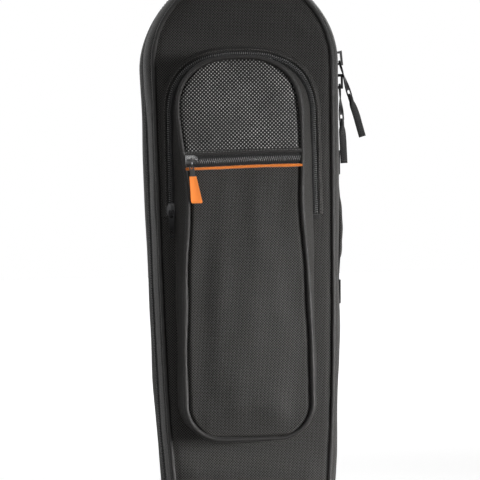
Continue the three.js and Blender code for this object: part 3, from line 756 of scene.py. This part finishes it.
def pocket_loop(spread, offset, start=None):
    """The pocket's outline, from its fold (or start) up the right side, over the arch and down the left side
    to the same height, and then round the foot unless start is given."""
    wide = POCKET_HALF + SPREAD * spread + offset
    rise = POCKET_TOP - ARCH_Z + offset
    side = [(wide, z) for z in steps(start or FOLD_Z, ARCH_Z, round((ARCH_Z - (start or FOLD_Z)) / (3 * MM)))]
    arch = []
    for t in steps(0, math.pi / 2, 22)[1:]:
        arch.append((wide * max(0, math.cos(t)) ** 0.8, ARCH_Z + rise * math.sin(t) ** 0.8))
    half = side + arch
    points = half + [(-x, z) for x, z in half[-2::-1]]
    if start is None:
        inner = POCKET_HALF - POCKET_CORNER
        corner = []
        for t in steps(0, math.pi / 2, 12):
            corner.append((inner + (wide - inner) * math.cos(t), POCKET_BOTTOM + POCKET_CORNER
                           - (POCKET_CORNER + offset) * math.sin(t)))
        drop = [(wide, z) for z in steps(FOLD_Z, POCKET_BOTTOM + POCKET_CORNER, 60)[1:-1]]
        foot = [(x, corner[-1][1]) for x in steps(-inner, inner, 14)[1:-1]]
        lower = drop + corner
        points += [(-x, z) for x, z in lower] + foot + lower[::-1]
    return [(pocket_x(x, z, spread), z) for x, z in points]


def pocket_sweep(section, start=None):
    rings = []
    for spread, offset, d in section:
        rings.append([Vector((x, forward(d * MM), z)) for x, z in pocket_loop(spread, offset * MM, start)])
    return sweep(rings, looped=start is None)


POCKET_WALL = [(1, 1.5, 48.5), (1, 1.9, 50.8), (1, 1.3, 53.4), (0.86, 0.8, 57), (0.64, 0.7, 62)]
POCKET_WALL += [(0.4, 0.7, 66), (0.16, 0.6, 70), (0, 0.2, 72.6), (0, -1.4, 73.2), (0, -2.0, 72)]
POCKET_WALL += [(0.3, -1.5, 66), (0.7, -1.5, 58), (1, -1.8, 50), (1, -1.8, 48.6)]
bm = pocket_sweep(POCKET_WALL)
crumple(bm, 1.1 * MM, 11 * MM, lambda co: math.exp(-abs(co.y - forward(72 * MM)) / (6 * MM)))
crumple(bm, 1.6 * MM, 42 * MM, seed=8)
piece("pocket_wall", bm, nylon, None, "shell_fabric", ["pocket_gusset_lower", "pocket_gusset_upper"],
      blend=FOLD)

CORD_R = 2.3
CORD_D = 74.9
ROUND = steps(0, 2 * math.pi, 12)[:-1]
bm = pocket_sweep([(0, CORD_R * math.cos(t), CORD_D + CORD_R * math.sin(t)) for t in ROUND])
crumple(bm, 0.45 * MM, 6 * MM)
crumple(bm, 1.0 * MM, 38 * MM, seed=2)
piece("pocket_cord", bm, bias, None, "piping", ["pocket_piping_lower", "pocket_piping_upper"], blend=FOLD)

FACE_EDGE = 1.6 * MM


def face_half(z):
    wide = POCKET_HALF - FACE_EDGE
    if z > ARCH_Z:
        s = min(1.0, (z - ARCH_Z) / (POCKET_TOP - ARCH_Z - FACE_EDGE))
        wide *= max(0.0, 1 - s**2.5) ** 0.4
    if z < POCKET_BOTTOM + POCKET_CORNER:
        inner = POCKET_HALF - POCKET_CORNER
        down = (POCKET_BOTTOM + POCKET_CORNER - z) / (POCKET_CORNER - FACE_EDGE)
        wide = inner + (wide - inner) * math.sqrt(max(0.0, 1 - down**2))
    return wide * (1 - waist(z) / POCKET_HALF)


def face_middle(z):
    return POCKET_X + lean(z)


def face_depth(x, z):
    across = min(1.0, abs(x) / max(face_half(z), 1 * MM))
    edge = min(POCKET_HALF * (1 - across), z - POCKET_BOTTOM)
    fill = smooth(0, 24 * MM, edge)
    round_over = smooth(0, 1, 1 - abs(across - 0.1))
    belly = 5.5 * MM * smooth(0, 1, (345 * MM - z) / (120 * MM)) * smooth(0, 34 * MM, edge) * round_over
    folds = 1.5 * MM * noise.noise(Vector((x / 0.022, 1.0, z / 0.075)))
    folds += 0.9 * MM * noise.noise(Vector((x / 0.05, 5.0, z / 0.03)))
    tuck = 2.4 * MM * (1 - smooth(0, 5 * MM, edge))
    return forward(FACE_DEPTH - 0.6 * MM - tuck + belly + folds * fill)


SEAM_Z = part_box("slash_piping")[0].z + 0.8 * MM
face = spread_cloth(face_half, POCKET_BOTTOM + FACE_EDGE, SEAM_Z, 56, 120, face_depth, middle=face_middle)
piece("pocket_front", face, nylon, None, "shell_fabric", ["pocket_face_lower", "pocket_face_upper"],
      blend=FOLD)


def toward_viewer(at, tangent):
    return Vector((0, -1, 0))


def base_row(spread, offset, d):
    points = [Vector((x, forward(d * MM), z)) for x, z in pocket_loop(spread, offset * MM)]
    return [p for p in points[len(points) // 2:] + points[:len(points) // 2] if p.z < FOLD_Z - 4 * MM]


seam_row("pocket_base_stitches", base_row(1, 1.6, 48.15), "lid", toward_viewer)

# ---------------------------------------------------------------- pocket's arched zip
# A number 5 coil zip between the pocket's wall and the lid panel. Its lid tape is sewn down under a narrow
# folded hem, its flap tape to the wall's foot, and bar tacks of webbing close its two ends.

ZIP_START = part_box("pocket_zip_lid_tape")[0].z
CHAIN_OUT = 5.0
CHAIN_D = 51.1
LID_TAPE = [(0.3, 0.3), (4.6, 0.3), (4.6, -0.35), (0.3, -0.35)]
LID_HEM = [(3.0, 0.4), (3.2, 1.0), (4.0, 1.3), (5.4, 0.9), (6.6, -0.6)]
LID_HEM += [(7.6, -2.2), (7.8, -2.8), (5.4, -2.8), (5, -0.2)]
FLAP_TAPE = [(-0.3, 0.35), (-4.0, 0.35), (-4.8, 0.1), (-4.8, -0.5), (-4.0, -0.35), (-0.3, -0.35)]


def pocket_tape(section):
    return pocket_sweep([(1, CHAIN_OUT + w, CHAIN_D + d) for w, d in section], ZIP_START)


piece("pocket_lid_tape", pocket_tape(LID_TAPE), tape_cloth, "lid", "zip_tape", ["pocket_zip_lid_tape"])
bm = pocket_tape(LID_HEM)
crumple(bm, 0.6 * MM, 9 * MM)
piece("pocket_lid_hem", bm, nylon, "lid", "shell_fabric")
piece("pocket_flap_tape", pocket_tape(FLAP_TAPE), tape_cloth, None, "zip_tape", ["pocket_zip_flap_tape"],
      blend=FOLD)
SMALL_BEAD = (0.56 * MM, 1.8 * MM, 1.15 * MM)
SMALL_OFF = 1.05 * MM
# A lighter copy of the coil's colour for the small zips: a painted highlight on their coils.
highlit_coil = clouded("highlit_coil", 0.22, 300.0, (0.05, 0.05, 0.05), (0.17, 0.17, 0.17), specular=0.8)[0]
SMALL_PITCH = 2.0 * MM
arch = [Vector((x, forward(CHAIN_D * MM), z)) for x, z in pocket_loop(1, CHAIN_OUT * MM, ZIP_START)]
beads = coil(arch, SMALL_PITCH, SMALL_OFF, 0, toward_viewer, SMALL_BEAD)
piece("pocket_flap_coil", beads, coil_nylon, None, "zip_tape", blend=FOLD)
beads = coil(arch, SMALL_PITCH, -SMALL_OFF, SMALL_PITCH / 2, toward_viewer, SMALL_BEAD)
piece("pocket_lid_coil", beads, highlit_coil, "lid", "zip_tape")
hem = [Vector((x, forward(52.2 * MM), z)) for x, z in pocket_loop(1, (CHAIN_OUT + 4.9) * MM, ZIP_START)]
seam_row("pocket_hem_stitches", hem, "lid", toward_viewer, pitch=3 * MM)


def refined(node, offset, segments=2):
    """A copy of a solid's shape with its triangles merged and its edges rounded."""
    bm = bmesh.new()
    bm.from_mesh(frame["nodes"][node].data)
    bmesh.ops.remove_doubles(bm, verts=bm.verts, dist=1e-6)
    bmesh.ops.dissolve_limit(bm, angle_limit=math.radians(3), verts=bm.verts, edges=bm.edges)
    sharp = [e for e in bm.edges if e.is_manifold and e.calc_face_angle(0) > math.radians(30)]
    bmesh.ops.bevel(bm, geom=sharp, offset=offset, offset_type="OFFSET", segments=segments, profile=0.5,
                    affect="EDGES", clamp_overlap=True, material=-1)
    bmesh.ops.triangulate(bm, faces=[f for f in bm.faces if len(f.verts) > 4])
    return bm


for side in ("left", "right"):
    node = f"pocket_zip_end_{side}"
    piece(f"pocket_bar_tack_{side}", refined(node, 0.6 * MM, 3), webbing, "lid", "webbing", [node])

# ---------------------------------------------------------------- coarse panel of the flap
# A stiffer, coarser cloth with glossy silver-grey and black threads, let into the flap's top above the
# slash zip, with the edge along the zip turned under. The silver-grey shows only as painted glints on the
# crests of its threads.

HEM_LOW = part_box("pocket_mesh_panel")[0].z
COARSE_PITCH = 1.8 * MM


def coarse_cloth():
    material, tree, shader = surface("coarse_cloth", 0.42, specular=0.25)
    waves, warp_up = square_wave(tree, COARSE_PITCH, cloth_axes(tree))
    warp, weft = (maths(tree, "POWER", maths(tree, "ABSOLUTE", wave), 0.7) for wave in waves)
    # The silver-grey threads are near black but for a painted glint on each crest.
    painted_glint = maths(tree, "POWER", maths(tree, "MULTIPLY", warp, maths(tree, "ADD", weft, 0.15)), 4.5)
    pale = blended(tree, painted_glint, (0.008, 0.008, 0.008), (0.5, 0.494, 0.478))
    # The black threads are a little lighter on their crests: painted light.
    dark = blended(tree, weft, (0.001, 0.001, 0.001), (0.006, 0.006, 0.006))
    colour = blended(tree, warp_up, dark, pale)
    tone = maths(tree, "MULTIPLY", cloudy(tree, 26.0, 5.0), 1.5)
    colour = blended(tree, tone, (0.012, 0.012, 0.012), colour)
    tree.links.new(colour, shader.inputs["Base Color"])
    emboss(tree, shader, on_top(tree, warp, weft, warp_up), 0.6, 0.4 * MM)
    return material


def coarse_depth(x, z):
    across = min(1.0, abs(x) / max(face_half(z), 1 * MM))
    edge = min(POCKET_HALF * (1 - across), POCKET_TOP - z)
    swell = 1.6 * MM * smooth(0, 26 * MM, edge) + 0.7 * MM * noise.noise(Vector((x / 0.03, 2.0, z / 0.03)))
    swell *= smooth(0, 10 * MM, edge) * smooth(2 * MM, 18 * MM, z - HEM_LOW)
    return forward(FACE_DEPTH - 0.8 * MM - 2.2 * MM * (1 - smooth(0, 5 * MM, edge)) + swell)


panel = spread_cloth(face_half, HEM_LOW, POCKET_TOP - FACE_EDGE, 44, 48, coarse_depth, middle=face_middle)
piece("flap_coarse_panel", panel, coarse_cloth(), "pocket_flap", "mesh_fabric", ["pocket_mesh_panel"])

# ---------------------------------------------------------------- slash zip, hem and orange piping
# A number 5 coil zip straight across the flap. The coarse panel's hem lies along its upper tape, and an
# orange cord piping along the seam below its lower tape.

SLASH_Z = (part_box("slash_slider")[0].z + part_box("slash_slider")[1].z) / 2
SLASH_D = 75.2
DROP = 1.7 * MM
SPARE = 1.0 * MM  # how far a strip reaches past the face on each side, into the pocket's seam


def sag(x, half):
    """The zip's left end hangs a little lower."""
    return DROP * smooth(0, 1, 0.35 - 0.65 * x / half)


def flap_line(z, depth, spare=0.0, count=30):
    """Points across the flap at a height, hanging as the zip does."""
    half = face_half(z) + spare
    x0, y = face_middle(z), forward(depth * MM)
    return [Vector((x + x0, y, z - sag(x, half))) for x in steps(-half, half, count)]


def strip(section):
    """A strip across the flap. The section is (height over the slash zip, depth) in millimetres."""
    return sweep([flap_line(SLASH_Z + h * MM, d, SPARE, 44) for h, d in section], looped=False)


UPPER = [(0.3, 75.5), (4.4, 75.5), (5.4, 74.6), (7.5, 73.4)]
UPPER += [(7.5, 72.9), (5.2, 73.8), (4.2, 74.9), (0.3, 74.9)]
for name, sign in (("upper", 1), ("lower", -1)):
    bm = strip([(sign * h, d) for h, d in UPPER])
    piece(f"slash_{name}_tape", bm, tape_cloth, "pocket_flap", "zip_tape", [f"slash_zip_{name}_tape"])
    shift = SMALL_PITCH / 2 if sign > 0 else 0
    line = flap_line(SLASH_Z, SLASH_D)
    beads = coil(line, SMALL_PITCH, -sign * SMALL_OFF, shift, toward_viewer, SMALL_BEAD)
    piece(f"slash_{name}_coil", beads, highlit_coil, "pocket_flap", "zip_tape")

HEM = [(4.9, 75.6), (5.0, 76.2), (5.8, 76.6), (8.4, 76.7), (9.6, 76.2), (9.8, 75.2), (7, 75.0)]
piece("flap_hem", strip(HEM), bias, "pocket_flap", "shell_fabric")
line = flap_line(SLASH_Z + 8.3 * MM, 76.75)
seam_row("flap_hem_stitches", line, "pocket_flap", toward_viewer, pitch=2.8 * MM)

PIPE_R = 1.45
PIPE_D = 76.3
orange_cloth = woven("orange_cloth", (0.87, 0.27, 0.05), (0.45, 0.10, 0.012), 0.6 * MM, slant=0.4, rough=0.5,
                     sheen=0.3)
pipe_h = (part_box("slash_piping")[0].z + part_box("slash_piping")[1].z) / 2 / MM - SLASH_Z / MM
bm = strip([(pipe_h + PIPE_R * math.sin(t), PIPE_D + PIPE_R * math.cos(t)) for t in ROUND])
crumple(bm, 0.3 * MM, 12 * MM)
piece("orange_piping", bm, orange_cloth, "pocket_flap", "orange_fabric", ["slash_piping"])


def lining_depth(x, z):
    return forward(FACE_DEPTH - 5.5 * MM + 1.4 * MM * noise.noise(Vector((x / 0.025, 0.0, z / 0.02))))


low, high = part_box("slash_pocket_lining")
lining_cloth = woven("lining_cloth", (0.05, 0.05, 0.052), (0.016, 0.016, 0.017), 0.5 * MM, rough=0.75,
                     relief=0.2)
bm = spread_cloth(lambda z: (high.x - low.x) / 2, low.z, high.z, 30, 16, lining_depth, 0.8 * MM, face_middle)
piece("slash_pocket_cloth", bm, lining_cloth, "pocket_flap", "lining_fabric", ["slash_pocket_lining"])

# ---------------------------------------------------------------- sliders and pulls
# Cast sliders with a bridge each. The black ones are lacquered, with brighter metal where hands and tape
# rub, and carry flat metal tabs with narrow webbing loops. The bright one carries an orange moulded grip.


def worn_metal(name, paint, bare, rough, wear):
    material, tree, shader = surface(name, rough, metallic=0.85)
    rub = tree.nodes.new("ShaderNodeNewGeometry").outputs["Pointiness"]
    rub = maths(tree, "MULTIPLY", maths(tree, "SUBTRACT", rub, 0.53), wear)
    rub = maths(tree, "MINIMUM", maths(tree, "MAXIMUM", rub, 0.0), 1.0)
    tree.links.new(blended(tree, rub, paint, bare), shader.inputs["Base Color"])
    scratches = maths(tree, "ADD", maths(tree, "MULTIPLY", cloudy(tree, 1400.0), 0.25), rough - 0.12)
    tree.links.new(scratches, shader.inputs["Roughness"])
    return material


lacquer = worn_metal("black_lacquer", (0.012, 0.012, 0.0125), (0.09, 0.09, 0.092), 0.34, 5.0)
nickel = worn_metal("bright_nickel", (0.05, 0.05, 0.052), (0.42, 0.42, 0.42), 0.24, 4.0)
SLIDERS = [
    ("upper_main_slider", "main_slider_upper", lacquer, "upper_slider", "black_metal", 0.35),
    ("lower_main_slider", "main_slider_lower", lacquer, "lower_slider", "black_metal", 0.35),
    ("upper_main_tab", "main_pull_tab_upper", lacquer, "upper_pull", "black_metal", 0.35),
    ("lower_main_tab", "main_pull_tab_lower", lacquer, "lower_pull", "black_metal", 0.35),
    ("arch_slider", "pocket_slider", lacquer, "pocket_runner", "black_metal", 0.25),
    ("arch_tab", "pocket_pull_tab", lacquer, "pocket_pull", "black_metal", 0.28),
    ("flap_slider", "slash_slider", nickel, "slash_runner", "gunmetal", 0.25),
    ("flap_link", "slash_pull_link", nickel, "slash_pull", "gunmetal", 0.12),
]


def pull_frame(which):
    """The place of a main pull: its pivot, and the lean at which it hangs."""
    joint = next(j for j in frame["joints"] if j["name"] == f"{which}_pull_swing")
    upright = math.radians({"upper": 16, "lower": 2}[which])
    return Matrix.Translation(Vector(joint["pos_m"])) @ Matrix.Rotation(-upright, 4, "Y")


def twist(bm, start, end, angle):
    """Turns what hangs below start round the pull's own length, up to angle below end (heights in mm)."""
    for v in bm.verts:
        turn = math.radians(angle) * smooth(0, 1, (start - v.co.z / MM) / (start - end))
        x, y = v.co.x, v.co.y
        v.co.x = x * math.cos(turn) - y * math.sin(turn)
        v.co.y = x * math.sin(turn) + y * math.cos(turn)


PARKED_Z = 465 * MM
LIFT = math.asin((PARKED_Z - DOME_Z) / RADIUS)
MAIN_FRAMES = {"main_slider_upper": LIFT, "main_slider_lower": 0.0}


def thicken_crown(bm, node):
    """Gives a main slider's bridge the fuller section of a cast one, outwards only."""
    low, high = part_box(node)
    turn = MAIN_FRAMES[node]
    path = RADIUS - ZIP_INSET
    z = DOME_Z + path * math.sin(turn) if turn else (low.z + high.z) / 2
    x = path * math.cos(turn) if turn else half_width(z) - ZIP_INSET
    place = Matrix.Translation((x, ZIP_Y, z)) @ Matrix.Rotation(-turn, 4, "Y")
    bm.transform(place.inverted())
    for v in bm.verts:
        if v.co.x > 3.5 * MM:
            v.co.z += math.copysign(0.9 * MM, v.co.z) * smooth(5.6 * MM, 6.1 * MM, abs(v.co.z))
            v.co.x += 0.9 * MM * smooth(7.5 * MM, 7.9 * MM, v.co.x)
    bm.transform(place)


def cut(bm, z, **cleared):
    geom = bm.verts[:] + bm.edges[:] + bm.faces[:]
    bmesh.ops.bisect_plane(bm, geom=geom, plane_co=(0, 0, z), plane_no=(0, 0, 1), **cleared)


TAB_CUTS = (-10, -12, -14, -16, -19, -22, -26, -30)
TAB_TWIST = (-8, -32, -58)
STRAP_TWIST = (-44, -66, -30)
for name, node, metal, body, slot, edge in SLIDERS:
    bm = refined(node, edge * MM)
    if node in MAIN_FRAMES:
        thicken_crown(bm, node)
    if "main_pull_tab" in node:
        place = pull_frame(body.split("_")[0])
        bm.transform(place.inverted())
        for z in TAB_CUTS:
            cut(bm, z * MM)
        twist(bm, *TAB_TWIST)
        bm.transform(place)
    piece(name, bm, metal, body, slot, [node])


def moulded(name, rough, scale, dark, light, **look):
    material, tree, shader = clouded(name, rough, scale, dark, light, **look)
    emboss(tree, shader, cloudy(tree, 1600.0), 0.1, 0.1 * MM)
    return material


rubber = moulded("orange_rubber", 0.45, 60.0, (0.80, 0.20, 0.03), (0.9, 0.26, 0.045), specular=0.45)
GRIP_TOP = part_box("slash_pull_grip")[1].z
COLLAR_Z = GRIP_TOP - 10.5 * MM


def grip_half(lower):
    bm = refined("slash_pull_grip", 0.7 * MM, 3)
    cut(bm, COLLAR_Z, clear_outer=lower, clear_inner=not lower)
    bmesh.ops.holes_fill(bm, edges=[e for e in bm.edges if e.is_boundary])
    for v in bm.verts:
        v.co.x += 0.13 * max(0, GRIP_TOP - 4 * MM - v.co.z)
    return bm


bm = grip_half(True)
broad = [f for f in bm.faces if abs(f.normal.y) > 0.9 and f.calc_area() > 40 * MM * MM]
bmesh.ops.inset_region(bm, faces=broad, thickness=1.1 * MM, depth=-0.35 * MM)
piece("orange_grip", bm, rubber, "slash_pull", "orange_rubber", ["slash_pull_grip"])
black_rubber = moulded("black_rubber", 0.5, 80.0, (0.01, 0.01, 0.01), (0.025, 0.025, 0.025))
piece("grip_collar", grip_half(False), black_rubber, "slash_pull", "black_metal")


def ribbon(path, widths, thick):
    """A flat strap along (x, z) points, square to them, with softened edges; y runs across it."""
    points = [Vector((x, 0, z)) for x, z in path]
    rings = []
    quarter = [(-1, -0.6), (-1, 0.6), (-0.86, 1), (0.86, 1)]
    for across, off in quarter + [(-a, -b) for a, b in quarter]:
        line = []
        for i, p in enumerate(points):
            t = (points[min(i + 1, len(points) - 1)] - points[max(i - 1, 0)]).normalized()
            aside = Vector((0, across * widths[i] / 2, 0))
            line.append(p + Vector((-t.z, 0, t.x)) * (off * thick / 2) + aside)
        rings.append(line)
    return sweep(rings, looped=False)


def wring(bm, place):
    """Gives a strap, or its stitches, the tab's twist and its own, and puts it in its place."""
    twist(bm, *TAB_TWIST)
    twist(bm, *STRAP_TWIST)
    bm.transform(place)


FRONT = [(0.75, -79), (0.75, -72), (0.75, -65), (0.75, -58), (0.75, -52), (0.8, -48), (0.95, -45)]
FRONT += [(1.35, -42), (1.6, -40), (1.65, -38), (1.5, -36.4), (1.15, -35.2), (0.6, -34.7)]
STRAP_PATH = FRONT + [(0, -34.55)] + [(-x, z) for x, z in reversed(FRONT)]
STRAP_BEND = 1.8 * MM
STRAP_WIDE = [3.0 + 3.8 * smooth(0, 1, (-41 - z) / 6) for x, z in STRAP_PATH]
for which in ("upper", "lower"):
    turn = pull_frame(which)
    bm = ribbon([(x * MM, z * MM) for x, z in STRAP_PATH], [w * MM for w in STRAP_WIDE], 1.2 * MM)
    bend = STRAP_BEND * (1 if which == "upper" else 0.4)
    for v in bm.verts:
        v.co.x += bend * math.sin(math.pi * smooth(0, 1, (-v.co.z / MM - 42) / 40))
    wring(bm, turn)
    node = f"main_pull_strap_{which}"
    piece(f"{which}_webbing_pull", bm, webbing, f"{which}_pull", "webbing", [node])
    rows = []
    out = turn.to_3x3() @ Vector((1, 0, 0))
    for z in (-47.5, -49.5, -76.5):
        for face in (1.42, -1.42):
            for y in (-2.2, -1.1, 0, 1.1, 2.2):
                rows.append(placed(turn @ Vector((face * MM, y * MM, z * MM)), Vector((0, 1, 0)), out))
    bm = repeat(bead(6, 4, (0.5 * MM, 0.25 * MM, 0.25 * MM)), rows)
    bm.transform(turn.inverted())
    wring(bm, turn)
    piece(f"{which}_pull_stitches", bm, thread, f"{which}_pull", "webbing")

# ---------------------------------------------------------------- side handle
# A flat webbing strap along the hinge wall, sewn under a stitched patch at each end, with a padded sleeve
# of nylon round its free middle.

low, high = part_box("handle_strap")
HANDLE_Y = (low.y + high.y) / 2
HANDLE_LOW, HANDLE_HIGH = low.z, high.z


def strap_rise(t):
    return (0.6 + 2.5 * math.sin(math.pi * min(1, max(0, (t - 0.16) / 0.68))) ** 1.2) * MM


def along_handle(t0, t1, count, section):
    """Sweeps section(t), a list of (out, across) in millimetres, along the handle's run."""
    rings = []
    for t in steps(t0, t1, count):
        z = HANDLE_LOW + t * (HANDLE_HIGH - HANDLE_LOW)
        out = half_width(z) + strap_rise(t)
        rings.append([Vector((out + o * MM, HANDLE_Y + a * MM, z)) for o, a in section(t)])
    return sweep([list(line) for line in zip(*rings)], looped=False)


def strap_section(t):
    return [(0.4, -12.5), (0, -12), (0, 12), (0.4, 12.5), (2, 12.5), (2.4, 12), (2.4, -12), (2, -12.5)]


def sleeve_section(t):
    u = abs(t - 0.5) / 0.21
    grow = 0.55 + 0.45 * (1 - min(1.0, u) ** 6)
    section = []
    for a in steps(0, 2 * math.pi, 28)[:-1]:
        c, s = math.cos(a), math.sin(a)
        o = 1.2 + math.copysign(abs(s) ** 0.7, s) * 3.0 * grow * (1.0 if s > 0 else 0.8)
        section.append((o, math.copysign(abs(c) ** 0.45, c) * 14.0 * (0.93 + 0.07 * grow)))
    return section


def patch_section(t):
    return [(2.7, -14), (2.7, 14), (3.3, 14.2), (3.8, 13.6), (3.8, -13.6), (3.3, -14.2)]


def out_to_the_right(at, tangent):
    return Vector((1, 0, 0))


PATCH_SPAN = 0.162
piece("handle_webbing", along_handle(0, 1, 60, strap_section), webbing, "lid", "webbing", ["handle_strap"])
bm = along_handle(0.295, 0.705, 44, sleeve_section)
crumple(bm, 0.8 * MM, 12 * MM)
piece("handle_sleeve", bm, nylon, "lid", "shell_fabric", ["handle_grip"])
for name, t0 in (("low", -0.02), ("high", 0.858)):
    bm = along_handle(t0, t0 + PATCH_SPAN, 10, patch_section)
    piece(f"handle_sewn_patch_{name}", bm, webbing, "lid", "webbing", [f"handle_patch_{name}"])
    first, last = t0 + 0.02, t0 + PATCH_SPAN - 0.02
    corners = [(first, -11.5), (first, 11.5), (last, 11.5), (last, -11.5)]
    path = corners + [corners[0], corners[2], corners[1], corners[3]]
    line = []
    for t, across in path:
        z = HANDLE_LOW + t * (HANDLE_HIGH - HANDLE_LOW)
        line.append(Vector((half_width(z) + strap_rise(t) + 3.8 * MM, HANDLE_Y + across * MM, z)))
    seam_row(f"handle_patch_stitches_{name}", line, "lid", out_to_the_right, pitch=3 * MM)

# ---------------------------------------------------------------- linings
# Each panel's foam is bagged in smooth lining cloth and quilted to it near the edge. The walls are lined
# with the same cloth on its own.


def inner_depth(toward, x, z):
    e = edge_distance(x, z, 12.2 * MM)
    pillow = 2.0 * MM * smooth(2 * MM, 20 * MM, e) + 0.8 * MM * noise.noise(Vector((x / 0.04, 9.0, z / 0.06)))
    channel = 1.2 * MM * math.exp(-(((e - 14 * MM) / (2 * MM)) ** 2))
    return toward(40.2 * MM - pillow + channel)


def lining_half(z):
    return max(0.0, panel_half(z) - 0.9 * MM)


LINING_INSET = 12.3 * MM
PADDING = 5.6 * MM
LINED = [
    ("lid", forward, "lid", -PADDING, ["front_lining", "front_foam"]),
    ("back", backward, "rear_shell", PADDING, ["rear_lining", "rear_foam"]),
]
for name, toward, body, thick, nodes in LINED:
    bm = spread_cloth(lining_half, LINING_INSET, DOME_Z + RADIUS - LINING_INSET, 40, 110,
                      lambda x, z: inner_depth(toward, x, z), thick)
    piece(f"{name}_quilted_lining", bm, lining_cloth, body, "lining_fabric", nodes)

LINING_WALL = [(5.0, 18), (5.7, 28), (7.8, 36.2), (9.6, 38)]
LINING_WALL += [(10.8, 37.2), (8.8, 35.2), (6.6, 27.5), (5.8, 18)]


def lined(run, toward, rim, looped, lean=0.0):
    rings = []
    for inset, d in [(4.6, rim)] + LINING_WALL + [(5.4, rim)]:
        points = leaning(run, inset * MM, lean * MM * (1 - smooth(30, 38, d)))
        rings.append([Vector((x, toward(d * MM), z)) for x, z in points])
    bm = sweep(rings, looped=looped)
    crumple(bm, 0.6 * MM, 18 * MM, lambda co: smooth(0, 10 * MM, abs(co.y - toward(rim * MM))))
    return bm


piece("lid_wall_lining", lined(whole_run, forward, RIM, True, LID_LEAN), lining_cloth, "lid", "lining_fabric",
      ["front_gusset_lining"])
piece("back_wall_lining", lined(zip_run, backward, RIM, False), lining_cloth, "rear_shell", "lining_fabric",
      ["rear_gusset_lining"])
piece("hinge_lining", lined(hinge_run, backward, HINGE_RIM, False), lining_cloth, None, "lining_fabric",
      ["hinge_gusset_lining"], blend=hinge_bend)

low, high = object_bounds()
